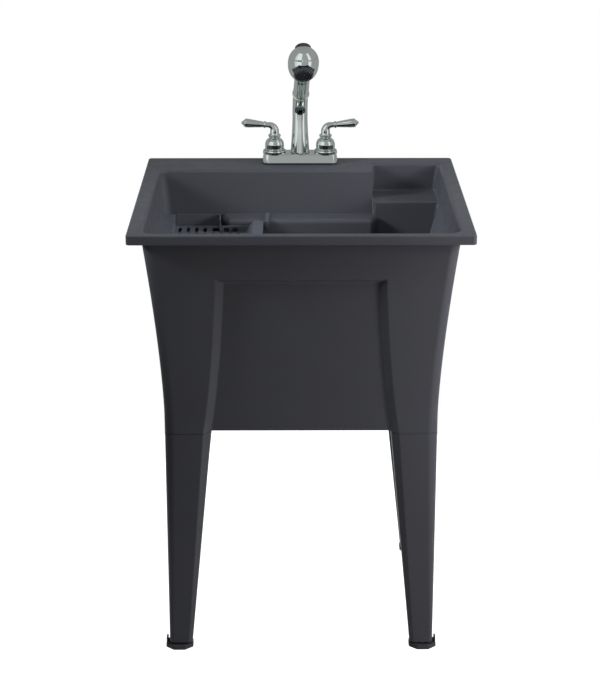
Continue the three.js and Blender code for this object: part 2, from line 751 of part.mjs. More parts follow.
// Threaded insert, levelling screw with a hexagonal collar, and pad with its lip towards the side,
// about the foot's own axis.
function foot(corner, sx, sy) {
  const group = new THREE.Group();
  group.position.set(...inCorner(sx, sy, FOOT_OFFSET, FOOT_SET_BACK), 0);
  group.rotation.z = sy < 0 ? 0 : (sx * Math.PI) / 2;
  const seat = LEG_CLEARANCE + LEG_FLOOR;
  const bore = cylinder(SCREW_RADIUS + SEAT_GAP, 0, seat + LEG_FLOOR, 0, 0, SMALL);
  const insert = cylinder(INSERT_RADIUS, LEG_CLEARANCE + SEAT_GAP, seat + SEAT_GAP + 1)
    .add(cylinder(INSERT_FLANGE, seat + SEAT_GAP, seat + SEAT_GAP + INSERT_FLANGE_THICKNESS))
    .subtract(bore);
  const screwTop = PAD_SOCKET_FLOOR + SCREW_LENGTH;
  const screw = cylinder(SCREW_RADIUS, PAD_SOCKET_FLOOR + SEAT_GAP, screwTop, 0, 0, SMALL).add(
    cylinder(COLLAR_RADIUS, padTop + SEAT_GAP, LEG_CLEARANCE - SEAT_GAP, 0, 0, 6),
  );
  const edge = 1.5;
  const flat = Math.tan(rad(22.5));
  const octagon = (shrink, z) => {
    const [x, y] = [PAD_ACROSS / 2 - shrink, PAD_DEPTH / 2 - shrink];
    const signs = [
      [1, 1],
      [-1, 1],
      [-1, -1],
      [1, -1],
    ];
    return signs.flatMap(([i, j]) => {
      const [side, end] = [
        [i * x, j * y * flat, z],
        [i * x * flat, j * y, z],
      ];
      return i * j > 0 ? [side, end] : [end, side];
    });
  };
  const pad = loft([octagon(edge, 0), octagon(0, edge), octagon(edge / 2, padTop)]);
  const face = sx * (PAD_ACROSS / 2 - edge / 2);
  const half = (PAD_DEPTH / 2) * flat - 1;
  const lipSection = (z, width) =>
    at(
      [
        [face, -width],
        [face, width],
        [face - sx * PAD_LIP_WALL, width],
        [face - sx * PAD_LIP_WALL, -width],
      ],
      z,
    );
  const lip = loft([
    lipSection(padTop - 2, half),
    lipSection(PAD_LIP_HEIGHT - 4, half),
    lipSection(PAD_LIP_HEIGHT, half - 4),
  ]);
  const socket = cylinder(SCREW_RADIUS + SEAT_GAP, PAD_SOCKET_FLOOR, padTop + 1, 0, 0, SMALL);
  group.add(
    mesh("foot_insert_" + corner, insert, brass),
    mesh("foot_screw_" + corner, screw, steel),
    mesh("foot_pad_" + corner, pad.add(lip).subtract(socket), footPlastic),
  );
  return group;
}

// ---------------------------------------------------------------- tap

const gasketTop = SEAT_GAP + GASKET_THICKNESS;
const baseBottom = gasketTop + SEAT_GAP;
const valveX = VALVE_SPACING / 2;
const bonnetBottom = BASE_HEIGHT + SEAT_GAP;
const bonnetTop = bonnetBottom + BONNET_HEIGHT;
const hubBottom = bonnetTop + SEAT_GAP;

function deckGasket() {
  const [x, y] = [BASE_LENGTH / 2 - 1, BASE_WIDTH / 2 - 1];
  let made = prism(roundedRectangle(-x, x, -y, y, y / 2), SEAT_GAP, gasketTop);
  for (const side of [-1, 1]) made = made.subtract(cylinder(shankHole, 0, gasketTop + 1, side * valveX));
  return mesh("deck_gasket", made.subtract(cylinder(hoseHole, 0, gasketTop + 1)), rubber);
}

function basePlate() {
  const outline = (shrink, z) => {
    const [x, y] = [BASE_LENGTH / 2 - shrink, BASE_WIDTH / 2 - shrink];
    return at(roundedRectangle(-x, x, -y, y, BASE_WIDTH / 4), z);
  };
  const shell = loft([
    outline(0, baseBottom),
    outline(BASE_DRAFT * 0.6, BASE_HEIGHT - 2),
    outline(BASE_DRAFT * 0.6 + 2, BASE_HEIGHT),
  ]);
  const hollow = loft([
    outline(BASE_WALL, baseBottom - 1),
    outline(BASE_WALL + BASE_DRAFT, BASE_HEIGHT - BASE_WALL),
  ]);
  let made = shell.subtract(hollow);
  const inner = BONNET_RADIUS + SLIDE_GAP;
  for (const side of [-1, 1]) {
    const collar = turned([
      [inner, BASE_HEIGHT - 1],
      [inner + COLLAR_WALL + 0.6, BASE_HEIGHT - 1],
      [inner + COLLAR_WALL, BASE_HEIGHT + COLLAR_HEIGHT - 2],
      [inner + COLLAR_WALL - 1.5, BASE_HEIGHT + COLLAR_HEIGHT],
      [inner, BASE_HEIGHT + COLLAR_HEIGHT],
    ]);
    made = made
      .add(solid(collar.translate(side * valveX, 0, 0)))
      .subtract(cylinder(shankHole, 0, BASE_HEIGHT + 1, side * valveX));
  }
  return mesh("base_plate", made.subtract(cylinder(POST_RADIUS + 1, 0, BASE_HEIGHT + 1)), chrome);
}

// Valve bodies with their inlet shanks, the cross tube and the spout's swivel post: one brass casting.
const bodyTop = BASE_HEIGHT + 14;
const chamberFloor = 12;
const cartridgeRadius = BODY_RADIUS - 3;

function waterway() {
  const crossRadius = 6.5;
  const crossZ = (baseBottom + BASE_HEIGHT - BASE_WALL) / 2 + 0.5;
  const cross = new THREE.CylinderGeometry(crossRadius, crossRadius, VALVE_SPACING, COARSE);
  cross.rotateZ(Math.PI / 2).translate(0, 0, crossZ);
  let made = solid(cross).add(cylinder(POST_RADIUS, crossZ - crossRadius, POST_HEIGHT));
  made = made.add(cylinder(POST_RADIUS - 1, -WALL * 4, crossZ));
  for (const side of [-1, 1]) {
    const x = side * valveX;
    made = made
      .add(cylinder(BODY_RADIUS, baseBottom + 1, bodyTop, x))
      .add(cylinder(SHANK_RADIUS, -SHANK_LENGTH, crossZ, x))
      .subtract(cylinder(cartridgeRadius + SEAT_GAP, chamberFloor, bodyTop + 1, x))
      .subtract(cylinder(SHANK_BORE, -SHANK_LENGTH - 1, chamberFloor + 1, x));
  }
  return mesh("waterway", made.subtract(cylinder(HOSE_BORE, -WALL * 5, POST_HEIGHT + 1)), brass);
}

// Cartridge, stem, bonnet, lever and set screw of one valve, about its own axis. side is -1 on the left.
function valve(name, side) {
  const group = new THREE.Group();
  group.position.x = side * valveX;
  const cartridgeTop = bodyTop + 10;
  const stemTop = hubBottom + 15;
  const cartridge = cylinder(cartridgeRadius, chamberFloor + SEAT_GAP, bodyTop + SEAT_GAP + 1)
    .add(cylinder(BODY_RADIUS - 1, bodyTop + SEAT_GAP, cartridgeTop, 0, 0, 12))
    .subtract(cylinder(STEM_RADIUS + SEAT_GAP, chamberFloor + 4, cartridgeTop + 1, 0, 0, SMALL));
  const stem = cylinder(STEM_RADIUS, chamberFloor + 4 + SEAT_GAP, stemTop, 0, 0, SMALL);
  const dome = 4;
  const bonnet = lathe([
    [BODY_RADIUS + SEAT_GAP, bonnetBottom],
    [BONNET_RADIUS, bonnetBottom],
    [BONNET_RADIUS, bonnetBottom + BONNET_HEIGHT * 0.55],
    [BONNET_RADIUS - 1, bonnetBottom + BONNET_HEIGHT * 0.72],
    [BONNET_RADIUS - dome, bonnetBottom + BONNET_HEIGHT * 0.9],
    [HUB_RADIUS - 3, bonnetTop],
    [STEM_RADIUS + 2, bonnetTop],
    [STEM_RADIUS + 2, bonnetTop - 3],
    [BODY_RADIUS + SEAT_GAP, cartridgeTop + 0.5],
  ]);
  const hub = lathe([
    [0, hubBottom],
    [HUB_RADIUS - 2, hubBottom],
    [HUB_RADIUS, hubBottom + 2],
    [HUB_RADIUS, hubBottom + 4.5],
    [HUB_RADIUS - 3, hubBottom + 6.5],
    [9, hubBottom + 9],
    [8.6, hubBottom + 17],
    [0, hubBottom + 17],
  ]);
  const leverZ = hubBottom + 24.5;
  const bend = 11;
  const elbow = [0, 1, 2, 3, 4, 5].map((i) => {
    const angle = rad(18 * i);
    const radius = mix(8.6, 5.6, i / 5);
    return [bend * (1 - Math.cos(angle)), leverZ - bend * (1 - Math.sin(angle)), radius];
  });
  const rise = (reach) => leverZ + (LEVER_RISE * (reach - bend)) / (HANDLE_REACH - bend);
  const along = [
    [17, 5.4],
    [18, 6.7],
    [20.5, 6.7],
    [21.5, 5.6],
    [36, 6.8],
    [50, 8],
    [56, 8],
    [58.5, 6],
    [60, 4],
    [62, 4.4],
    [64.5, 3],
    [HANDLE_REACH, 0.6],
  ].map(([reach, radius]) => [reach, rise(reach), radius]);
  const lever = skin(rodRings([[0, hubBottom + 12, 8.6], ...elbow, ...along], COARSE));
  const screwZ = hubBottom + 11;
  const screwHole = new THREE.CylinderGeometry(1.8, 1.8, 12, 10).translate(0, 8, 0);
  const handle = hub
    .add(solid(lever.rotateZ((side * -Math.PI) / 2)))
    .subtract(cylinder(STEM_RADIUS + SEAT_GAP, hubBottom - 1, stemTop + SEAT_GAP, 0, 0, SMALL))
    .subtract(solid(screwHole.translate(0, 0, screwZ)));
  const screw = new THREE.CylinderGeometry(1.5, 1.5, 4, 10);
  screw.translate(0, STEM_RADIUS + SEAT_GAP + 2.2, screwZ);
  group.add(
    mesh("cartridge_" + name, cartridge, brass),
    mesh("stem_" + name, stem, brass),
    mesh("bonnet_" + name, bonnet, chrome),
    mesh("handle_" + name, handle, chrome),
    mesh("handle_screw_" + name, solid(screw), steel),
  );
  return group;
}

// Washer and nut that clamp one shank under the deck.
function shankFixings(name, side) {
  const group = new THREE.Group();
  group.position.x = side * valveX;
  const washerTop = -WALL - SEAT_GAP;
  const washer = ring(19, SHANK_RADIUS + SEAT_GAP, washerTop - 2, washerTop);
  const nutTop = washerTop - 2 - SEAT_GAP;
  const nut = cylinder(17.5, nutTop - 9, nutTop, 0, 0, 6).subtract(
    cylinder(SHANK_RADIUS + SEAT_GAP, nutTop - 10, nutTop + 1),
  );
  group.add(mesh("shank_washer_" + name, washer, rubber), mesh("shank_nut_" + name, nut, whitePlastic));
  return group;
}

// Outlet that feeds the spray hose, beside the hose's own way through the deck.
function hoseNipple() {
  const top = baseBottom + 1;
  const made = ring(4.5, 2.5, -22, top, 12);
  const piece = mesh("hose_nipple", made, brass);
  piece.position.x = 15.3;
  return piece;
}

const bushInner = POST_RADIUS + SEAT_GAP;
const bushOuter = bushInner + BUSH_WALL;
const [leanSin, leanCos] = [Math.sin(rad(SPOUT_LEAN)), Math.cos(rad(SPOUT_LEAN))];
const mouthY = -(SPOUT_BEND_RADIUS * (1 - leanCos) + SPOUT_NECK * leanSin);
const mouthZ = SPOUT_UPRIGHT + SPOUT_BEND_RADIUS * leanSin + SPOUT_NECK * leanCos;

// The spout's centre line from its foot to beyond its mouth, with a radius for each station.
function spoutStations(radiusAt, foot, beyond) {
  const upright = [foot, 26, 40, 56, 76, SPOUT_UPRIGHT].map((z) => [0, z, radiusAt(z)]);
  const steps = 6;
  const bend = Array.from({ length: steps }, (_, i) => {
    const angle = rad((SPOUT_LEAN * (i + 1)) / steps);
    const y = -SPOUT_BEND_RADIUS * (1 - Math.cos(angle));
    const z = SPOUT_UPRIGHT + SPOUT_BEND_RADIUS * Math.sin(angle);
    return [y, z, radiusAt(z)];
  });
  const end = [mouthY - beyond * leanSin, mouthZ + beyond * leanCos, radiusAt(mouthZ)];
  return [...upright, ...bend, end];
}

function spout() {
  const rise = 72;
  const flare = (z) => {
    const t = Math.max(0, 1 - (z - bonnetBottom) / rise);
    return SPOUT_RADIUS + (SPOUT_BASE_RADIUS - SPOUT_RADIUS) * t ** 1.6;
  };
  const outer = rod(spoutStations(flare, bonnetBottom, 0));
  const bore = rod(spoutStations(() => SPOUT_BORE, bonnetBottom - 2, 2));
  const socket = cylinder(bushOuter + SEAT_GAP, bonnetBottom - 1, POST_HEIGHT + 2);
  return mesh("spout", outer.subtract(bore).subtract(socket), chrome);
}

function spoutBush() {
  return mesh("spout_bush", ring(bushOuter, bushInner, bonnetBottom, POST_HEIGHT), whitePlastic);
}

// ---------------------------------------------------------------- spray
// Built along +Z with its nozzle towards -Y.

const guideInner = SPOUT_BORE - SEAT_GAP - 1.8;
const spigotRadius = guideInner - SLIDE_GAP;
const dockTop = SEAT_GAP + DOCK_THICKNESS;
const wandFoot = dockTop + SEAT_GAP;
const wandBore = spigotRadius - 1.5;

function dockPieces() {
  const guide = ring(SPOUT_BORE - SEAT_GAP, guideInner, -GUIDE_LENGTH, -1);
  const lip = (DOCK_RADIUS - SPOUT_RADIUS) / 2;
  const dock = lathe([
    [SPOUT_BORE, SEAT_GAP],
    [SPOUT_RADIUS, SEAT_GAP],
    [SPOUT_RADIUS + lip * 1.6, SEAT_GAP + DOCK_THICKNESS * 0.25],
    [DOCK_RADIUS, SEAT_GAP + DOCK_THICKNESS * 0.5],
    [SPOUT_RADIUS + lip * 1.6, SEAT_GAP + DOCK_THICKNESS * 0.75],
    [WAND_NECK_RADIUS, dockTop],
    [SPOUT_BORE, dockTop],
  ]);
  return [mesh("hose_guide", guide, whitePlastic), mesh("dock_ring", dock, chrome)];
}

// Oval of the push button, in the plane across the wand, at a level above the wand's axis.
function buttonRing(shrink, level) {
  const sides = 20;
  return Array.from({ length: sides }, (_, i) => {
    const angle = (2 * Math.PI * i) / sides;
    const x = (BUTTON_WIDTH / 2 - shrink) * Math.cos(angle);
    const z = (BUTTON_LENGTH / 2 - shrink) * Math.sin(angle);
    return [x, level, BUTTON_CENTRE + z];
  });
}

const buttonFoot = HEAD_RADIUS - 8;

function wandPieces() {
  const headLength = WAND_LENGTH - HEAD_CENTRE;
  const front = [1 / 6, 1 / 3, 1 / 2, 2 / 3, 0.8, 0.91, 1].map((share) => [
    HEAD_RADIUS * Math.cos((share * Math.PI) / 2),
    HEAD_CENTRE + headLength * Math.sin((share * Math.PI) / 2),
  ]);
  front[front.length - 1][0] = 0;
  const shell = lathe([
    [0, wandFoot],
    [WAND_NECK_RADIUS - 0.5, wandFoot],
    [WAND_NECK_RADIUS, wandFoot + 2],
    [WAND_NECK_RADIUS - 0.6, 30],
    [WAND_NECK_RADIUS - 0.4, 60],
    [WAND_NECK_RADIUS + 0.5, HEAD_CENTRE - 44],
    [HEAD_RADIUS * 0.74, HEAD_CENTRE - 37],
    [HEAD_RADIUS * 0.89, HEAD_CENTRE - 29],
    [HEAD_RADIUS * 0.97, HEAD_CENTRE - 19],
    [HEAD_RADIUS, HEAD_CENTRE - 8],
    [HEAD_RADIUS, HEAD_CENTRE],
    ...front,
  ]);
  const faceTurn = (radius, near, far) => {
    const geometry = new THREE.CylinderGeometry(radius, radius, far - near, FINE);
    return solid(geometry.translate(0, -(near + far) / 2, FACE_CENTRE));
  };
  const faceFloor = FACE_LEVEL - FACE_RECESS;
  const pocket = loft([buttonRing(-SLIDE_GAP, buttonFoot), buttonRing(-SLIDE_GAP, HEAD_RADIUS * 2)]);
  const wide = 2 * HEAD_RADIUS;
  const body = shell
    .add(cylinder(spigotRadius, -SPIGOT_LENGTH, wandFoot + 1))
    .subtract(cylinder(wandBore, -SPIGOT_LENGTH - 1, 70))
    .subtract(box(-wide, wide, -wide, -FACE_LEVEL, 0, 2 * WAND_LENGTH))
    .subtract(faceTurn(FACE_RADIUS + SEAT_GAP, faceFloor, wide))
    .subtract(pocket);
  const puck = new THREE.LatheGeometry(
    [
      [0, faceFloor + SEAT_GAP],
      [FACE_RADIUS, faceFloor + SEAT_GAP],
      [FACE_RADIUS, FACE_LEVEL + FACE_PROUD - 1.5],
      [FACE_RADIUS - 2, FACE_LEVEL + FACE_PROUD],
      [0, FACE_LEVEL + FACE_PROUD],
    ].map(([r, y]) => new THREE.Vector2(r, y)),
    FINE,
  );
  puck.rotateX(Math.PI).translate(0, 0, FACE_CENTRE);
  const buttonLow = buttonFoot + BUTTON_TRAVEL + SEAT_GAP;
  const buttonTop = HEAD_RADIUS + BUTTON_PROUD;
  const button = loft([
    buttonRing(0, buttonLow),
    buttonRing(0, buttonTop - 4),
    buttonRing(1, buttonTop - 2.2),
    buttonRing(3.5, buttonTop - 0.8),
    buttonRing(7, buttonTop),
  ]);
  const connector = ring(wandBore - SEAT_GAP, wandBore - 2.3, -SPIGOT_LENGTH - 10, 40).add(
    ring(wandBore + 0.6, wandBore - 2.3, -SPIGOT_LENGTH - 10, -SPIGOT_LENGTH - SEAT_GAP),
  );
  return [
    mesh("wand", body, chrome),
    mesh("spray_face", solid(puck), rubber),
    mesh("spray_button", button, rubber),
    mesh("hose_connector", connector, brass),
  ];
}

function tap() {
  const group = new THREE.Group();
  group.position.set(0, tapY, RIM_HEIGHT);
  group.add(deckGasket(), basePlate(), waterway(), hoseNipple(), spoutBush());
  for (const [name, side] of [
    ["left", -1],
    ["right", 1],
  ])
    group.add(valve(name, side), shankFixings(name, side));
  const mouth = new THREE.Group();
  mouth.position.set(0, mouthY, mouthZ);
  mouth.rotation.x = rad(SPOUT_LEAN);
  mouth.add(...dockPieces(), ...wandPieces());
  const swivel = new THREE.Group();
  swivel.rotation.z = rad(SPOUT_SWIVEL);
  swivel.add(spout(), mouth);
  group.add(swivel);
  return group;
}

// ---------------------------------------------------------------- drain

function drain() {
  const group = new THREE.Group();
  group.position.set(0, drainY, dishZ);
  const flangeTop = -SEAT_GAP;
  const flangeLow = flangeTop - SHEET;
  const inner = STRAINER_RADIUS - SHEET;
  const outletLow = -STRAINER_DEPTH - OUTLET_LENGTH;
  const flange = lathe([
    [FLANGE_RADIUS, flangeLow],
    [FLANGE_RADIUS, flangeTop - 0.8],
    [inner + 4, flangeTop],
    [inner, flangeTop - 5],
    [inner, -STRAINER_DEPTH + SHEET],
    [OUTLET_RADIUS - SHEET, -STRAINER_DEPTH],
    [OUTLET_RADIUS - SHEET, outletLow],
    [OUTLET_RADIUS, outletLow],
    [OUTLET_RADIUS, -STRAINER_DEPTH - SHEET],
    [STRAINER_RADIUS, -STRAINER_DEPTH],
    [STRAINER_RADIUS, flangeLow],
  ]);
  const boreGap = STRAINER_RADIUS + SEAT_GAP;
  const under = -flangeRecess - BOSS_THICKNESS - SEAT_GAP;
  const gasketLow = under - 3;
  const washerLow = gasketLow - SEAT_GAP - 1.5;
  const gasket = ring(FLANGE_RADIUS + 2, boreGap, gasketLow, under, FINE);
  const washer = ring(FLANGE_RADIUS + 1, boreGap, washerLow, gasketLow - SEAT_GAP, FINE);
  const nutTop = washerLow - SEAT_GAP;
  let nut = ring(STRAINER_RADIUS + 6, boreGap, nutTop - 11, nutTop, FINE);
  for (let i = 0; i < 6; i++) {
    const lug = new THREE.BoxGeometry(12, 8, 10);
    lug.translate(STRAINER_RADIUS + 7.5, 0, nutTop - 5.5).rotateZ(rad(60 * i));
    nut = nut.add(solid(lug));
  }
  const basketRadius = inner - 2;
  const basketFloor = BASKET_SKIN - BASKET_DEPTH;
  let basket = lathe([
    [0, -BASKET_DEPTH],
    [BASKET_FLOOR_RADIUS, -BASKET_DEPTH],
    [basketRadius - 8, 4 - BASKET_DEPTH],
    [basketRadius, -5.6],
    [inner + BASKET_LIP, -1.2],
    [inner + BASKET_LIP - 0.4, -0.2],
    [basketRadius - BASKET_SKIN, -4.2],
    [basketRadius - 8 - BASKET_SKIN * 0.875, 4 - BASKET_DEPTH + BASKET_SKIN * 0.875],
    [BASKET_FLOOR_RADIUS, basketFloor],
    [KNOB_STEM_RADIUS, basketFloor],
    [KNOB_STEM_RADIUS, -KNOB_TOP - 7],
    [KNOB_RADIUS, -KNOB_TOP - 5],
    [KNOB_RADIUS, -KNOB_TOP - 1],
    [0, -KNOB_TOP],
  ]);
  for (let i = 0; i < BASKET_HOLES; i++) {
    const hole = new THREE.CylinderGeometry(BASKET_HOLE_RADIUS, BASKET_HOLE_RADIUS, 12, 8);
    hole.rotateX(Math.PI / 2).translate(BASKET_HOLE_CIRCLE, 0, basketFloor);
    basket = basket.subtract(solid(hole.rotateZ((2 * Math.PI * i) / BASKET_HOLES)));
  }
  const tailTop = outletLow - SEAT_GAP;
  const tailLow = tailTop - TAIL_LENGTH;
  const tail = lathe([
    [TAIL_RADIUS - TAIL_WALL, tailLow],
    [TAIL_RADIUS, tailLow],
    [TAIL_RADIUS, tailTop - SHEET],
    [OUTLET_RADIUS, tailTop - SHEET],
    [OUTLET_RADIUS, tailTop],
    [TAIL_RADIUS - TAIL_WALL, tailTop],
  ]);
  const slipTop = outletLow + OUTLET_LENGTH - SHEET - 2;
  const slipLow = tailTop - SHEET - SEAT_GAP - 3;
  const slip = cylinder(OUTLET_RADIUS + 6, slipLow, slipTop, 0, 0, 12)
    .subtract(cylinder(TAIL_RADIUS + SEAT_GAP, slipLow - 1, slipTop, 0, 0, FINE))
    .subtract(cylinder(OUTLET_RADIUS + SEAT_GAP, tailTop - SHEET - SEAT_GAP, slipTop + 1, 0, 0, FINE));
  group.add(
    mesh("drain_flange", flange, steel),
    mesh("drain_gasket", gasket, rubber),
    mesh("drain_washer", washer, whitePlastic),
    mesh("drain_locknut", nut, whitePlastic),
    mesh("drain_basket", basket, steel),
    mesh("tailpiece", tail, whitePlastic),
    mesh("slip_nut", slip, whitePlastic),
  );
  return group;
}

// ---------------------------------------------------------------- caddy

// Slotted tray in the rear left corner: its left flange lies on a ledge and its hook on the step.
function caddy() {
  const stepFront = rearWall(STEP_DEPTH) - STEP_REACH;
  const top = height(STEP_DEPTH);
  const low = top - CADDY_HEIGHT;
  const back = rearWall(STEP_DEPTH + CADDY_HEIGHT) - CADDY_WALL_GAP;
  const notchY = stepFront - CADDY_WALL_GAP;
  const notchX = -STEP_HALF_WIDTH - CADDY_WALL_GAP;
  const [left, right] = [CADDY_SIDE_GAP - basinHalfWidth(STEP_DEPTH), -CADDY_RIGHT];

  // Tray outline with the notch round the step, drawn in from the sides and the front.
  const tray = (side, front, z0, z1) => {
    const cut = BASIN_CORNER - side;
    const rear = prism(
      [
        [left + side, CADDY_FRONT + front],
        [notchX, CADDY_FRONT + front],
        [notchX, back],
        [left + side + cut, back],
        [left + side + cut * 0.3, back - cut * 0.3],
        [left + side, back - cut],
      ],
      z0,
      z1,
    );
    return rear.add(box(left + side, right - side, CADDY_FRONT + front, notchY, z0, z1));
  };
  const flange = tray(0, 0, top - CADDY_SKIN, top);
  const bowl = tray(CADDY_FLANGE, CADDY_FRONT_FLANGE, low, top - 0.5);
  const floorZ = low + CADDY_SKIN;
  const innerLeft = left + CADDY_FLANGE + CADDY_SKIN;
  const innerRight = right - CADDY_FLANGE - CADDY_SKIN;
  const scoop = (y0, y1) =>
    loft([
      at(
        [
          [innerLeft, y0],
          [innerRight - CADDY_SCOOP, y0],
          [innerRight - CADDY_SCOOP, y1],
          [innerLeft, y1],
        ],
        floorZ,
      ),
      at(
        [
          [innerLeft, y0],
          [innerRight, y0],
          [innerRight, y1],
          [innerLeft, y1],
        ],
        top + 1,
      ),
    ]);
  const frontY = CADDY_FRONT + CADDY_FRONT_FLANGE + CADDY_SKIN;
  const rearPart = box(innerLeft, notchX - CADDY_SKIN, frontY, back - CADDY_SKIN, floorZ, top + 1);
  const forePart = scoop(frontY, notchY - CADDY_SKIN);
  let made = flange.add(bowl).subtract(rearPart).subtract(forePart);

  // The wall is lower in front of the step.
  made = made.subtract(
    box(notchX - CADDY_SKIN, right + 1, notchY - CADDY_SKIN, notchY + 1, top - CADDY_NOTCH_DROP, top + 1),
  );

  // Slots through the floor, a wide opening beside the step and windows in the low wall.
  const cutFloor = (x0, x1, y0, y1) => {
    made = made.subtract(box(x0, x1, y0, y1, low - 1, floorZ + 1));
  };
  const pitch = (notchY - CADDY_SKIN - frontY) / SLOT_ROWS;
  for (let x = innerLeft + SLOT_WIDTH; x < innerRight - CADDY_SCOOP - SLOT_WIDTH; x += SLOT_PITCH)
    for (let row = 0; row < SLOT_ROWS; row++) {
      const y = frontY + row * pitch + SLOT_WIDTH / 2;
      cutFloor(x, x + SLOT_WIDTH, y, y + pitch - SLOT_WIDTH);
    }
  const wideX = notchX - CADDY_SKIN - WIDE_SLOT;
  for (let x = innerLeft + SLOT_WIDTH; x < wideX - SLOT_WIDTH; x += SLOT_PITCH)
    cutFloor(x, x + SLOT_WIDTH, notchY, notchY + SLOT_LENGTH);
  cutFloor(wideX, notchX - CADDY_SKIN, notchY + SLOT_WIDTH / 2, notchY + SLOT_LENGTH);
  const windowTop = top - CADDY_NOTCH_DROP - 4;
  for (let x = notchX + SLOT_WIDTH; x < innerRight - CADDY_SCOOP - SLOT_PITCH; x += SLOT_PITCH)
    made = made.subtract(
      box(x, x + SLOT_PITCH - SLOT_WIDTH, notchY - 2 * CADDY_SKIN, notchY + 1, floorZ, windowTop),
    );

  // Hook over the step.
  const hookRight = right + HOOK_WIDTH + CADDY_WALL_GAP;
  const strapLow = top + SEAT_GAP;
  const strap = box(
    hookRight - HOOK_WIDTH,
    hookRight,
    notchY - CADDY_SKIN,
    back - CADDY_WALL_GAP,
    strapLow,
    strapLow + CADDY_SKIN,
  );
  const drop = box(
    hookRight - HOOK_WIDTH,
    hookRight,
    notchY - CADDY_SKIN,
    notchY,
    top - 2 * HOOK_WIDTH,
    strapLow + CADDY_SKIN,
  );
  const armBack = notchY - CADDY_SKIN + 0.5;
  const arm = box(right - 2, hookRight, notchY - HOOK_WIDTH, armBack, top - HOOK_WIDTH, top);
  return mesh("caddy", made.add(strap).add(drop).add(arm), caddyPlastic);
}

// ---------------------------------------------------------------- assembly

const sink = new THREE.Group();
sink.add(tub(), caddy(), tap(), drain());
for (const corner of CORNERS) sink.add(leg(...corner), foot(...corner));

export default sink;
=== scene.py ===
"""Looks of a free-standing laundry sink: moulded tub on four legs, two-lever tap, pull-out spray and caddy.

The scene is in metres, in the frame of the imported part. Drawn sizes are in millimetres and become metres
when a mesh is made.
"""

from __future__ import annotations

import json
import logging
import math
from dataclasses import dataclass, field
from enum import Enum
from typing import Sequence

import bmesh
import bpy
from mathutils import Matrix, Vector

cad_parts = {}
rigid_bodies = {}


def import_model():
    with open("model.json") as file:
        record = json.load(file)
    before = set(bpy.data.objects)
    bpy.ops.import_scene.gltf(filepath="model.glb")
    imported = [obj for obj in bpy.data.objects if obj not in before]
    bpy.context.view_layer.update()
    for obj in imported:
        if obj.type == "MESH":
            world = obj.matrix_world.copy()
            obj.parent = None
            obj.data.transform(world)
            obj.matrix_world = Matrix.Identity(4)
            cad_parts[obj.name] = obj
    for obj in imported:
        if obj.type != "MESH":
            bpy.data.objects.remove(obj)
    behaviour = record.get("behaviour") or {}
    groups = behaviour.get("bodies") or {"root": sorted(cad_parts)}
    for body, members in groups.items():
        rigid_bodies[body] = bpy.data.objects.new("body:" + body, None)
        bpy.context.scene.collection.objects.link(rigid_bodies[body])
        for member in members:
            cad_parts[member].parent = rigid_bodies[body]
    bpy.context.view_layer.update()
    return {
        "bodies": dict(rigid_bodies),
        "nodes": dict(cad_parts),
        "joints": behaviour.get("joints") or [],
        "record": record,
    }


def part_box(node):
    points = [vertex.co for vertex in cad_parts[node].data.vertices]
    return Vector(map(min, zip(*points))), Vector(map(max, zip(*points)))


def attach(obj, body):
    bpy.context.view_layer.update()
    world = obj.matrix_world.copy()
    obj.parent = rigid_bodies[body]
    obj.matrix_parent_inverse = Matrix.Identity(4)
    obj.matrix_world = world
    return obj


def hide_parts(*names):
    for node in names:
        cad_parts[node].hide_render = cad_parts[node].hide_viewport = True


LOG = logging.getLogger("sink")

Piece = bpy.types.Object
Material = bpy.types.Material
Socket = bpy.types.NodeSocket
Inputs = dict[str | int, object]
Point = tuple[float, float]
Corner = tuple[float, float, float]
Place = tuple[float, float, float]
Ring = list[Place]
Panel = tuple[float, float, float]

RIM_TOP = 838.0
MILLIMETRE = 0.001
METRES = Matrix.Scale(MILLIMETRE, 4)
MERGE_WITHIN = 1e-4
SHARP_FROM = math.radians(35.0)
# Share of a side that the arc at either of its ends may take.
ARC_ROOM = 0.45
CORNERS = {"front_left": (-1, -1), "front_right": (1, -1), "rear_left": (-1, 1), "rear_right": (1, 1)}


class Side(Enum):
    """The two sides of the sink, seen from its front."""

    LEFT = -1
    RIGHT = 1

    @property
    def word(self) -> str:
        """Name of the side as the nodes write it."""
        return self.name.lower()


# ---------------------------------------------------------------- shapes


def mix(a: float, b: float, share: float) -> float:
    """Value a share of the way from a to b."""
    return a + (b - a) * share


def clamp(value: float, low: float = 0.0, high: float = 1.0) -> float:
    """Value kept between low and high."""
    return min(max(value, low), high)


def turns(count: int) -> list[float]:
    """Angles all the way round, in count steps."""
    return [2 * math.pi * i / count for i in range(count)]


def quarter(steps: int) -> list[float]:
    """Angles from 0 to a quarter turn, in steps."""
    return [math.pi / 2 * i / steps for i in range(steps + 1)]


def eased(size: float, steps: int) -> list[Point]:
    """Steps round a quarter circle: how far each is past its start and how far short of its end."""
    return [(size * (1 - math.cos(a)), size * (1 - math.sin(a))) for a in quarter(steps)]


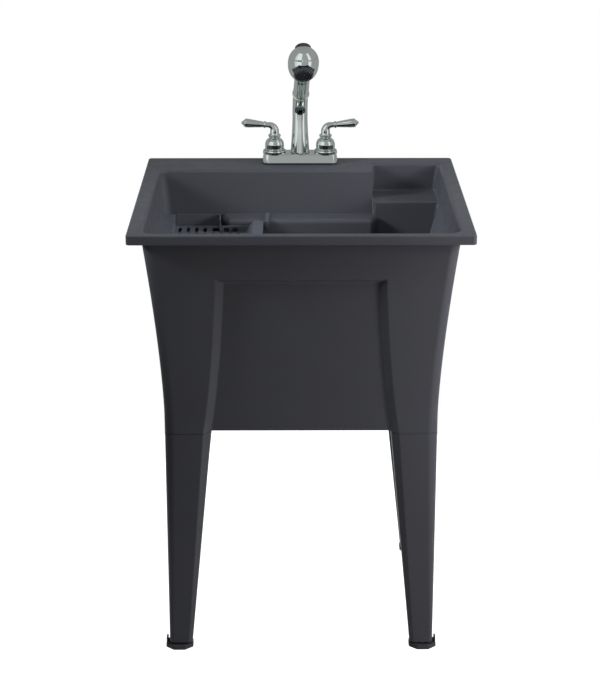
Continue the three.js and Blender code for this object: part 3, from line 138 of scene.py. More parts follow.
def fillet(before: Sequence[float], corner: Corner, after: Sequence[float], steps: int) -> list[Point]:
    """Rounds one corner of an outline.

    Args:
        before: The corner before it.
        corner: The corner and the radius of its arc.
        after: The corner after it.
        steps: Edges along the arc.

    Returns:
        Points of the arc, always steps + 1 of them.
    """
    x, y, radius = corner
    apex = Vector((x, y))
    back, ahead = Vector(before[:2]) - apex, Vector(after[:2]) - apex
    room = ARC_ROOM * min(back.length, ahead.length)
    if room < 1e-6:
        return [(x, y)] * (steps + 1)
    back.normalize()
    ahead.normalize()
    half = max(math.acos(clamp(back.dot(ahead), -1.0, 1.0)) / 2, 0.01)
    reach = min(max(radius / math.tan(half), 0.05), room)
    start, end = apex + back * reach, apex + ahead * reach
    points = []
    for i in range(steps + 1):
        s = i / steps
        a, b, c = (1 - s) ** 2, 2 * s * (1 - s) * math.sin(half), s * s
        points.append(tuple((start * a + apex * b + end * c) / (a + b + c)))
    return points


def outline(corners: Sequence[Corner], steps: int = 6) -> list[Point]:
    """Closed outline with rounded corners.

    Args:
        corners: Its corners.
        steps: Edges along each arc.

    Returns:
        The outline's points.
    """
    count = len(corners)
    arcs = (fillet(corners[i - 1], corners[i], corners[(i + 1) % count], steps) for i in range(count))
    return [point for arc in arcs for point in arc]


def profile(corners: Sequence[Corner], steps: int = 4) -> list[Point]:
    """Open outline whose inner corners are rounded."""
    inner = (fillet(corners[i - 1], corners[i], corners[i + 1], steps) for i in range(1, len(corners) - 1))
    return [tuple(corners[0][:2]), *(point for arc in inner for point in arc), tuple(corners[-1][:2])]


def kept_within(index: int, count: int) -> int:
    """Index kept inside a list of count items."""
    return min(max(index, 0), count - 1)


def catmull(a: float, b: float, c: float, d: float, s: float) -> float:
    """Value at a share s between b and c on a smooth curve through a, b, c and d."""
    return b + 0.5 * s * (c - a + s * (2 * a - 5 * b + 4 * c - d + s * (3 * (b - c) + d - a)))


def smooth_line(points: Sequence[Point], per_span: int) -> list[Point]:
    """Curve through points.

    Args:
        points: Points that the curve passes through.
        per_span: Steps between two of them.

    Returns:
        Points along the curve.
    """
    line = []
    for i in range(len(points) - 1):
        near = [points[kept_within(i + k, len(points))] for k in (-1, 0, 1, 2)]
        for step in range(per_span):
            line.append(tuple(catmull(*values, step / per_span) for values in zip(*near)))
    return [*line, tuple(points[-1])]


def at_height(points: Sequence[Point], z: float) -> Ring:
    """Outline at a height."""
    return [(x, y, z) for x, y in points]


def rounded(corners: Sequence[Point], radius: float, z: float, steps: int = 3) -> Ring:
    """Outline at a height whose corners have one radius."""
    return at_height(outline([(x, y, radius) for x, y in corners], steps), z)


def placed(name: str, data: bpy.types.ID) -> Piece:
    """New object in the scene, at the origin.

    Args:
        name: Its name.
        data: What it shows.

    Returns:
        The object.
    """
    piece = bpy.data.objects.new(name, data)
    bpy.context.scene.collection.objects.link(piece)
    return piece


def plain(name: str, mesh: bmesh.types.BMesh) -> Piece:
    """New object from a mesh in the making, which is freed.

    Args:
        name: Its name.
        mesh: The mesh in the making.

    Returns:
        The object.
    """
    data = bpy.data.meshes.new(name)
    mesh.to_mesh(data)
    mesh.free()
    return placed(name, data)


@dataclass
class Skin:
    """Closed mesh in the making. Its places are in millimetres until it becomes an object."""

    name: str
    mesh: bmesh.types.BMesh = field(default_factory=bmesh.new)

    def loft(self, rings: Sequence[Ring], wrap: bool = False) -> Skin:
        """Adds a closed skin through rings that have as many points each.

        Args:
            rings: The rings in order.
            wrap: Whether the last ring joins the first one. Otherwise both end rings are closed.

        Returns:
            The skin itself.
        """
        count = len(rings[0])
        grid = [[self.mesh.verts.new(place) for place in ring] for ring in rings]
        for r in range(len(rings) if wrap else len(rings) - 1):
            low, high = grid[r], grid[(r + 1) % len(rings)]
            for i in range(count):
                j = (i + 1) % count
                self.mesh.faces.new((low[i], low[j], high[j], high[i]))
        if not wrap:
            self.mesh.faces.new(reversed(grid[0]))
            self.mesh.faces.new(grid[-1])
        return self

    def turn(self, points: Sequence[Point], sides: int = 72) -> Skin:
        """Adds an outline of (radius, height) turned about Z. It closes on itself or on the axis."""
        rings = [[(r * math.cos(a), r * math.sin(a), z) for r, z in points] for a in turns(sides)]
        return self.loft(rings, wrap=True)

    def sweep(self, stations: Sequence[Place], sides: int = 48) -> Skin:
        """Adds a round rod, each ring square to the way.

        Args:
            stations: Y, height and radius at each place along the rod.
            sides: Points round it.

        Returns:
            The skin itself.
        """
        rings = []
        for k, (y, z, radius) in enumerate(stations):
            y0, z0, _ = stations[kept_within(k - 1, len(stations))]
            y1, z1, _ = stations[kept_within(k + 1, len(stations))]
            length = math.hypot(y1 - y0, z1 - z0)
            ring = []
            for angle in turns(sides):
                across = radius * math.sin(angle)
                tilt_y, tilt_z = (z1 - z0) / length * across, -(y1 - y0) / length * across
                ring.append((radius * math.cos(angle), y + tilt_y, z + tilt_z))
            rings.append(ring)
        return self.loft(rings)

    def to_object(self, where: Matrix | None = None) -> Piece:
        """Turns the skin into an object at the origin, with its place in its mesh.

        Args:
            where: Where the skin stands, in millimetres.

        Returns:
            The new object.
        """
        bmesh.ops.remove_doubles(self.mesh, verts=self.mesh.verts, dist=MERGE_WITHIN)
        bmesh.ops.dissolve_degenerate(self.mesh, edges=self.mesh.edges, dist=MERGE_WITHIN)
        bmesh.ops.recalc_face_normals(self.mesh, faces=self.mesh.faces)
        piece = plain(self.name, self.mesh)
        piece.data.transform(METRES @ (where or Matrix.Identity(4)))
        return piece


def turned(name: str, corners: Sequence[Corner], where: Matrix, steps: int = 4) -> Piece:
    """Object turned about Z from corners of (radius, height, rounding)."""
    return Skin(name).turn(profile(corners, steps)).to_object(where)


def evaluated(piece: Piece) -> Piece:
    """Bakes a piece's modifiers into its mesh and removes them.

    Args:
        piece: The piece.

    Returns:
        The piece itself.
    """
    graph = bpy.context.evaluated_depsgraph_get()
    piece.data = bpy.data.meshes.new_from_object(piece.evaluated_get(graph))
    piece.modifiers.clear()
    return piece


def cut(piece: Piece, cutter: Piece) -> None:
    """Takes a cutter's space out of a piece and removes the cutter.

    Args:
        piece: The piece.
        cutter: The cutter.
    """
    modifier = piece.modifiers.new("cut", "BOOLEAN")
    modifier.operation = "DIFFERENCE"
    modifier.solver = "EXACT"
    modifier.object = cutter
    evaluated(piece)
    bpy.data.objects.remove(cutter)


def joined(name: str, *pieces: Piece) -> Piece:
    """Joins pieces into one object with a name.

    Args:
        name: The new object's name.
        pieces: What it is joined from. They are removed.

    Returns:
        The new object.
    """
    mesh = bmesh.new()
    for piece in pieces:
        mesh.from_mesh(piece.data)
        bpy.data.objects.remove(piece)
    return plain(name, mesh)


# ---------------------------------------------------------------- finishes


class Nodes:
    """Node tree in the making."""

    def __init__(self, tree: bpy.types.NodeTree) -> None:
        """Starts on an empty tree."""
        self.tree = tree
        tree.nodes.clear()

    def add(self, kind: str, inputs: Inputs | None = None, **settings: object) -> bpy.types.Node:
        """Adds a node.

        Args:
            kind: The node's type name.
            inputs: Values or sockets for its inputs, by name or number.
            settings: Its other settings.

        Returns:
            The node.
        """
        node = self.tree.nodes.new(kind)
        for key, value in settings.items():
            setattr(node, key, value)
        for key, value in (inputs or {}).items():
            if isinstance(value, Socket):
                self.tree.links.new(value, node.inputs[key])
            else:
                node.inputs[key].default_value = value
        return node

    def out(self, kind: str, inputs: Inputs, **settings: object) -> Socket:
        """Adds a node and gives its first output."""
        return self.add(kind, inputs, **settings).outputs[0]

    def noise(self, place: Socket, scale: float, detail: float) -> Socket:
        """Adds noise that reads a place."""
        return self.out("ShaderNodeTexNoise", {"Vector": place, "Scale": scale, "Detail": detail})


@dataclass(frozen=True)
class Finish:
    """A finish with fine grain, slow unevenness and wear, drawn on object coordinates."""

    name: str
    colour: tuple[float, float, float]
    roughness: float
    metallic: float = 0.0
    grain_size: float = 900.0
    grain_height: float = 0.05
    unevenness: float = 0.06
    roughness_spread: float = 0.08
    stretch: tuple[float, float, float] = (1.0, 1.0, 1.0)
    specular: float = 0.5
    slow_size: float = 9.0
    smear_size: float = 45.0
    relief: float = 0.0004

    def build(self) -> Material:
        """Makes the material.

        Returns:
            A material whose colour, gloss and relief come from noise on object coordinates.
        """
        material = bpy.data.materials.new(self.name)
        material.use_nodes = True
        nodes = Nodes(material.node_tree)
        place = nodes.add("ShaderNodeTexCoord").outputs["Object"]
        drawn = nodes.out("ShaderNodeMapping", {"Vector": place, "Scale": self.stretch})
        slow, fine = nodes.noise(drawn, self.slow_size, 3.0), nodes.noise(drawn, self.grain_size, 2.0)
        dark = tuple(channel * (1 - self.unevenness) for channel in self.colour)
        light = tuple(min(channel * (1 + self.unevenness), 1.0) for channel in self.colour)
        # A colour Mix node's A and B are its inputs 6 and 7, and its result is output 2.
        mixed = nodes.add("ShaderNodeMix", {0: slow, 6: (*dark, 1), 7: (*light, 1)}, data_type="RGBA")
        gloss = {
            "Value": nodes.noise(drawn, self.smear_size, 4.0),
            "From Min": 0.3,
            "From Max": 0.7,
            "To Min": max(self.roughness - self.roughness_spread / 2, 0.0),
            "To Max": self.roughness + self.roughness_spread / 2,
        }
        bump = {"Height": fine, "Strength": self.grain_height, "Distance": self.relief}
        look = {
            "Base Color": mixed.outputs[2],
            "Roughness": nodes.out("ShaderNodeMapRange", gloss),
            "Normal": nodes.out("ShaderNodeBump", bump),
            "Metallic": self.metallic,
            "Specular IOR Level": self.specular,
        }
        shader = nodes.out("ShaderNodeBsdfPrincipled", look)
        nodes.add("ShaderNodeOutputMaterial", {"Surface": shader})
        return material


class Palette:
    """The sink's finishes, each made once. The key is the record's slot."""

    FINISHES = {
        "tub_plastic": Finish(
            "satin_dark_grey_plastic", (0.031, 0.0315, 0.0365), 0.47, grain_height=0.12, specular=0.14
        ),
        "caddy_plastic": Finish(
            "satin_grey_caddy_plastic", (0.043, 0.045, 0.053), 0.45, grain_height=0.12, specular=0.16
        ),
        "foot_plastic": Finish(
            "matt_grey_foot_plastic", (0.027, 0.027, 0.031), 0.55, grain_height=0.15, specular=0.14
        ),
        "chrome_plate": Finish(
            "polished_chrome_plate",
            (0.70, 0.76, 0.73),
            0.045,
            metallic=1.0,
            grain_height=0.0,
            unevenness=0.02,
            roughness_spread=0.03,
        ),
        "plain_brass": Finish(
            "machined_brass", (0.62, 0.47, 0.22), 0.32, metallic=1.0, grain_size=1500.0, stretch=(1, 1, 5)
        ),
        "stainless": Finish(
            "brushed_stainless", (0.55, 0.55, 0.56), 0.27, metallic=1.0, grain_size=700.0, stretch=(1, 1, 8)
        ),
        "black_rubber": Finish(
            "black_rubber", (0.012, 0.012, 0.013), 0.42, grain_size=1400.0, unevenness=0.15
        ),
        "white_plastic": Finish("off_white_plastic", (0.70, 0.70, 0.67), 0.4, unevenness=0.03),
    }

    def __init__(self) -> None:
        """Starts with no material made."""
        self.made: dict[str, Material] = {}

    def get(self, slot: str) -> Material:
        """Material of a slot.

        Args:
            slot: The record's slot.

        Returns:
            Its material, made when it is first asked for.
        """
        if slot not in self.made:
            self.made[slot] = self.FINISHES[slot].build()
        return self.made[slot]


@dataclass
class Workshop:
    """Dresses finished pieces and hands them to their bodies."""

    frame: dict
    palette: Palette = field(default_factory=Palette)

    def deliver(self, piece: Piece, slot: str, body: str, *replaces: str) -> None:
        """Gives a piece its finish and its body.

        Args:
            piece: The piece, at the origin, with its place in its mesh.
            slot: The record's slot of its finish.
            body: The body that it rides on.
            replaces: The nodes that it stands for.
        """
        piece.data.materials.clear()
        piece.data.materials.append(self.palette.get(slot))
        piece.data.shade_smooth()
        piece.data.set_sharp_from_angle(angle=SHARP_FROM)
        piece.modifiers.new("even_normals", "WEIGHTED_NORMAL").keep_sharp = True
        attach(piece, body)
        if replaces:
            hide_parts(*replaces)
        LOG.info("%s rides on %s in %s", piece.name, body, slot)

    def dress_nodes(self) -> None:
        """Gives every carried-over node the procedural finish of its slot."""
        for part in self.frame["record"]["subparts"]:
            node = self.frame["nodes"][part["node"]]
            node.data.materials.clear()
            node.data.materials.append(self.palette.get(part["material_slot"]))


# ---------------------------------------------------------------- repeats


class Repeat:
    """What repeats or winds, drawn by a node tree with named sizes. One of them is Height."""

    def sizes(self) -> dict[str, float]:
        """Value of each of the tree's inputs by its name, in millimetres."""
        raise NotImplementedError

    def draw(self, nodes: Nodes, given: bpy.types.NodeOutputs) -> Socket:
        """Adds the nodes of the shape itself and gives their geometry."""
        raise NotImplementedError

    def tree(self, material: Material) -> bpy.types.NodeTree:
        """Builds the node tree.

        Args:
            material: What the repeats are made of.

        Returns:
            The tree.
        """
        tree = bpy.data.node_groups.new(type(self).__name__, "GeometryNodeTree")
        nodes = Nodes(tree)
        for name, value in self.sizes().items():
            kind = "NodeSocketInt" if isinstance(value, int) else "NodeSocketFloat"
            tree.interface.new_socket(name, in_out="INPUT", socket_type=kind)
        tree.interface.new_socket("Geometry", in_out="OUTPUT", socket_type="NodeSocketGeometry")
        given = nodes.add("NodeGroupInput").outputs
        lift = nodes.out("ShaderNodeCombineXYZ", {"Z": given["Height"]})
        drawn = self.draw(nodes, given)
        moved = nodes.out("GeometryNodeTransform", {"Geometry": drawn, "Translation": lift})
        real = nodes.out("GeometryNodeRealizeInstances", {"Geometry": moved})
        finish = nodes.out("GeometryNodeSetMaterial", {"Geometry": real, "Material": material})
        nodes.add("NodeGroupOutput", {"Geometry": finish})
        return tree

    def build(self, name: str, where: Matrix, material: Material) -> Piece:
        """Runs the tree and keeps its result as a plain mesh.

        Args:
            name: The object's name.
            where: Where the axis of the repeats stands, in millimetres.
            material: What the repeats are made of.

        Returns:
            The object, at the origin, with its place in its mesh.
        """
        piece = placed(name, bpy.data.meshes.new(name))
        modifier = piece.modifiers.new("repeat", "NODES")
        modifier.node_group = self.tree(material)
        sizes = self.sizes()
        for item in modifier.node_group.interface.items_tree:
            if item.in_out == "INPUT":
                modifier[item.identifier] = sizes[item.name]
        evaluated(piece)
        piece.data.transform(METRES @ where)
        return piece


class Shape(Enum):
    """What a ring of repeats is made of."""

    PEG = "peg"
    BLOCK = "block"


@dataclass(frozen=True)
class RingOfRepeats(Repeat):
    """Pegs or blocks round a circle about Z. A size is width, tip width or depth, and length."""

    shape: Shape
    count: int
    circle_radius: float
    height: float
    size: Place
    peg_sides: int = 10

    def sizes(self) -> dict[str, float]:
        """Value of each of the tree's inputs by its name, in millimetres."""
        ring = {"Count": self.count, "Circle Radius": self.circle_radius, "Height": self.height}
        return ring | dict(zip(("Width", "Tip Width", "Length"), self.size))

    def draw(self, nodes: Nodes, given: bpy.types.NodeOutputs) -> Socket:
        """Adds the ring and what stands on its points.

        Args:
            nodes: The tree in the making.
            given: The tree's inputs.

        Returns:
            The instances.
        """
        width, tip, length = given["Width"], given["Tip Width"], given["Length"]
        circle = {"Vertices": given["Count"], "Radius": given["Circle Radius"]}
        if self.shape is Shape.PEG:
            cone = {"Vertices": self.peg_sides, "Radius Top": tip, "Radius Bottom": width, "Depth": length}
            item = nodes.out("GeometryNodeMeshCone", cone)
        else:
            size = nodes.out("ShaderNodeCombineXYZ", {"X": width, "Y": tip, "Z": length})
            item = nodes.out("GeometryNodeMeshCube", {"Size": size})
        outwards = {"Vector": nodes.add("GeometryNodeInputPosition").outputs[0]}
        spread = {
            "Points": nodes.out("GeometryNodeMeshCircle", circle),
            "Instance": item,
            "Rotation": nodes.out("FunctionNodeAlignRotationToVector", outwards, axis="X", pivot_axis="Z"),
        }
        return nodes.out("GeometryNodeInstanceOnPoints", spread)


@dataclass(frozen=True)
class Thread(Repeat):
    """Ridge of a screw's thread about Z."""

    radius: float
    pitch: float
    low: float
    high: float
    ridge: float
    per_turn: int = 24

    def sizes(self) -> dict[str, float]:
        """Value of each of the tree's inputs by its name, in millimetres."""
        rise, spiral = self.high - self.low, {"Radius": self.radius, "Height": self.low, "Ridge": self.ridge}
        return spiral | {"Turns": rise / self.pitch, "Rise": rise}

    def draw(self, nodes: Nodes, given: bpy.types.NodeOutputs) -> Socket:
        """Adds the spiral with a four-sided ridge along it.

        Args:
            nodes: The tree in the making.
            given: The tree's inputs.

        Returns:
            The ridge.
        """
        spiral = {
            "Resolution": self.per_turn,
            "Rotations": given["Turns"],
            "Start Radius": given["Radius"],
            "End Radius": given["Radius"],
            "Height": given["Rise"],
        }
        wire = {
            "Curve": nodes.out("GeometryNodeCurveSpiral", spiral),
            "Profile Curve": nodes.out(
                "GeometryNodeCurvePrimitiveCircle", {"Resolution": 4, "Radius": given["Ridge"]}
            ),
            "Fill Caps": True,
        }
        return nodes.out("GeometryNodeCurveToMesh", wire)


# ---------------------------------------------------------------- tub


@dataclass(frozen=True)
class Level:
    """One outline of the basin: its depth, and how it runs round the soap shelf and the step."""

    depth: float
    grow: float = 0.0
    shelf: float | None = None
    step: float | None = None
    alcove: float = 0.0

    def outside(self, skin: float) -> Level:
        """The same outline a skin's thickness outside and below the surface."""
        return Level(self.depth + skin, self.grow + skin, self.shelf, self.step, self.alcove)


@dataclass
class TubForm:
    """Outlines of the moulded tub at any depth below its rim."""

    width: float = 610.0
    depth: float = 559.0
    lip: float = 17.0
    wall: float = 4.0
    skin: float = 1.5
    top_inset: float = 23.5
    bottom_inset: float = 54.0
    flare_depth: float = 360.0
    flare_power: float = 1.45
    body_corner: float = 20.0
    seam_depth: float = 394.0
    apron_depth: float = 392.0
    front_panel_top: float = 101.0
    side_panel_top: float = 110.0
    panel_play: float = 1.4
    post_top: float = 119.5
    post_bottom: float = 71.5
    bevel: float = 14.0
    least_bevel: float = 3.0
    recess: float = 13.0
    inner_slope: float = 60.0
    deck: float = 99.0
    front_rim: float = 20.0
    side_rim: float = 28.0
    basin_corner: float = 20.0
    basin_depth: float = 330.0
    upper_draft: float = 0.14
    draft: float = 0.04
    floor_fillet: float = 24.0
    step_depth: float = 85.0
    step_half: float = 153.0
    step_taper: float = 12.0
    step_reach: float = 46.0
    shelf_left: float = 143.0
    shelf_depth: float = 56.0
    shelf_back: float = 43.0
    shelf_reach: float = 25.0
    rear_stops: tuple[float, ...] = (139.5, 136.0, 126.0, -133.0, -142.0, -144.5)
    rim_stops: tuple[float, ...] = (134.0, 131.0, 127.0, 118.0, -133.0, -142.0, -144.5)

    def inset(self, depth: float) -> float:
        """Distance from the rim's edge to the body."""
        share = (clamp(depth, self.lip, self.flare_depth) - self.lip) / (self.flare_depth - self.lip)
        return self.bottom_inset - (self.bottom_inset - self.top_inset) * (1 - share) ** self.flare_power

    def post(self, depth: float) -> float:
        """Width of a corner post's flat face."""
        share = clamp((depth - self.front_panel_top) / (self.apron_depth - self.front_panel_top))
        return mix(self.post_top, self.post_bottom, share)

    def rear_wall(self, depth: float) -> float:
        """Y of the basin's rear wall."""
        upper = min(depth, self.step_depth)
        return self.depth / 2 - self.deck - self.upper_draft * upper - self.draft * (depth - upper)

    def step_front(self, depth: float) -> float:
        """Y of the front of the step."""
        below = max(depth - self.step_depth, 0.0)
        return self.rear_wall(self.step_depth) - self.step_reach - self.draft * below

    def panels(self, depth: float, extra: float, slope: float) -> list[Panel]:
        """Sunk panels of the front and of a side.

        Args:
            depth: Depth below the rim.
            extra: How much wider they are than the gap between the posts.
            slope: How far above a panel's top its recess starts, with both ends of the slope eased.

        Returns:
            Edge and inner edge from the panel's middle, and how deep it is sunk, for both.
        """
        made = []
        for half, top in ((self.width / 2, self.front_panel_top), (self.depth / 2, self.side_panel_top)):
            edge = half - self.inset(depth) - self.post(depth) + extra
            share = clamp((depth - top + slope) / slope)
            share = share * share * (3 - 2 * share)
            made.append((edge, edge - max(self.bevel * share, self.least_bevel), self.recess * share))
        return made

    def around(
        self, x: float, front: float, panels: list[Panel], radii: Corner, rear: list[Corner], ends: Point
    ) -> list[Corner]:
        """Outline from its front left corner round both sides.

        Args:
            x: Half its width.
            front: Y of its front.
            panels: The front's panel and a side's.
            radii: Rounding of the front corners, and of a panel's edge and inner edge.
            rear: Corners between the rear edges of the side panels.
            ends: How far back the right panel and the left one may reach.

        Returns:
            The corners, anticlockwise.
        """
        (f0, f1, fs), (s0, s1, ss) = panels
        corner, edge, inner = radii
        right, left = min(s0, ends[0]), min(s0, ends[1])
        return [
            (-x, front, corner),
            (-f0, front, edge),
            (-f1, front + fs, inner),
            (f1, front + fs, inner),
            (f0, front, edge),
            (x, front, corner),
            (x, -s0, edge),
            (x - ss, -s1, inner),
            (x - ss, min(s1, right - self.least_bevel), inner),
            (x, right, edge),
            *rear,
            (-x, left, edge),
            (-x + ss, min(s1, left - self.least_bevel), inner),
            (-x + ss, -s1, inner),
            (-x, -s0, edge),
        ]

    def rear_right(self, level: Level, x: float, rear: float, shelf_y: float) -> list[Corner]:
        """Three corners of the basin's outline where the soap shelf stands.

        Args:
            level: Where the outline lies.
            x: Half the outline's width.
            rear: Y of the rear wall.
            shelf_y: Y of the shelf's front.

        Returns:
            The corners, anticlockwise.
        """
        left = self.shelf_left + level.grow
        if level.shelf is None:
            tight = level.alcove
            inwards = 2 * clamp(level.depth / self.lip) + tight
            left = self.shelf_left - level.grow + tight
            back = mix(self.shelf_back, self.shelf_back + self.wall, level.depth / self.shelf_depth)
            y = self.depth / 2 - back + level.grow - tight
            return [(x - inwards, y, 8.0), (left, y, 8.0), (left, rear, 3.0)]
        if level.step is None:
            left += 1.5 * level.shelf
            return [(x, shelf_y, 8.0), (left, shelf_y, 6.0), (left, rear, 3.0)]
        wide = self.step_half - level.step - level.grow
        return [(x, shelf_y, 8.0), (wide + 6, shelf_y, 1.0), (wide, shelf_y, 2.0)]

    def rear_middle(self, level: Level, rear: float, shelf_y: float) -> list[Corner]:
        """Six corners of the basin's outline along the rear wall or round the step.

        Args:
            level: Where the outline lies.
            rear: Y of the rear wall.
            shelf_y: Y of the soap shelf's front.

        Returns:
            The corners, anticlockwise.
        """
        if level.step is None:
            right = [x - max(level.grow, 0.0) for x in self.rear_stops[:3]]
            return [(x, rear, 0.5) for x in (*right, *self.rear_stops[3:])]
        wide = self.step_half - level.step - level.grow
        narrow = wide - self.step_taper
        y = self.step_front(level.depth) + level.step + level.grow
        half = self.step_reach / 2
        turn = min(y + half, shelf_y - 1.0)
        return [
            (wide - 0.2, turn, 3.0),
            (mix(wide, narrow, 0.5), mix(y, turn, 0.5), 2.0),
            (narrow, y, 9.0),
            (-narrow, y, 9.0),
            (-wide, y + half, 12.0),
            (-wide, rear, 4.0),
        ]

    def basin_corners(self, level: Level) -> list[Corner]:
        """Corners of the basin's outline.

        Args:
            level: Where the outline lies and how it runs round the shelf and the step.

        Returns:
            24 corners, anticlockwise from the front left.
        """
        depth, grow = level.depth, level.grow
        share = clamp(depth / self.lip)
        side = front = self.inset(depth) + self.wall
        if depth < self.lip:
            side, front = mix(self.side_rim, side, share), mix(self.front_rim, front, share)
        x = self.width / 2 - side + grow
        rear = self.rear_wall(depth) + grow
        round_ = max(self.basin_corner + grow, 3.0)
        shelf_y = self.rear_wall(self.shelf_depth) - self.shelf_reach + grow + (level.shelf or 0.0)
        corners = [
            *self.rear_right(level, x, rear, shelf_y),
            *self.rear_middle(level, rear, shelf_y),
            (-x, rear, round_),
        ]
        ends = (math.inf if level.shelf is None else shelf_y - 6.0, rear - 6.0)
        panels = self.panels(depth, self.panel_play, self.inner_slope)
        return self.around(x, -self.depth / 2 + front - grow, panels, (round_, 3.0, 4.0), corners, ends)

    def rim_corners(self, inset: float) -> list[Corner]:
        """Corners of the rim's outer edge, one for each of the basin's.

        Args:
            inset: How far inside the rim's edge they lie.

        Returns:
            24 corners, anticlockwise from the front left.
        """
        x, y = self.width / 2 - inset, self.depth / 2 - inset
        round_ = max(7.0 - inset, 2.5)
        across = (self.shelf_left, *self.rim_stops)
        rear = [(x, y, round_), *((x_, y, 0.5) for x_ in across), (-x, y, round_)]
        panels = self.panels(0.0, self.panel_play, self.recess)
        return self.around(x, -y, panels, (round_, 0.5, 0.5), rear, (math.inf, math.inf))

    def body_corners(self, depth: float, inner: float, step: bool) -> list[Corner]:
        """Corners of the body's outside, open at the rear between the posts.

        Args:
            depth: Depth below the rim.
            inner: How far inside the surface the outline runs.
            step: Whether the outline runs into the hollow behind the step.

        Returns:
            26 corners, anticlockwise from the front left.
        """
        margin = self.inset(depth)
        x, y = self.width / 2 - margin - inner, self.depth / 2 - margin - inner
        front = -y
        if depth < self.lip:
            front = -self.depth / 2 + mix(self.front_rim - self.wall, margin, depth / self.lip) + inner
        round_ = max(self.body_corner - inner, 4.0)
        post = self.width / 2 - margin - self.post(depth) - self.bevel + inner
        beside = self.shelf_left - self.wall + inner + max(depth - self.shelf_depth - self.wall, 0.0)
        right = min(post, beside)
        rear = self.rear_wall(depth) + self.wall - inner
        wide = min(self.step_half - self.wall, right - inner - 4.0) + inner
        if step:
            y_step = self.step_front(depth) + self.wall - inner
            middle = [(wide, rear, 3.0), (wide, y_step + self.step_reach / 2, 6.0)]
            middle += [(wide - self.step_taper, y_step, 6.0)]
        else:
            middle = [(wide - k, rear, 0.5) for k in (0.0, 4.0, 12.0)]
        corners = [
            (x, y, round_),
            (right, y, 4.0),
            (right, rear, 4.0),
            *middle,
            *((-x_, y_, r) for x_, y_, r in reversed(middle)),
            (-post, rear, 4.0),
            (-post, y, 4.0),
            (-x, y, round_),
        ]
        panels = self.panels(depth, math.tan(math.pi / 8) * inner, self.recess)
        return self.around(x, front, panels, (round_, 5.0, 4.0), corners, (math.inf, math.inf))


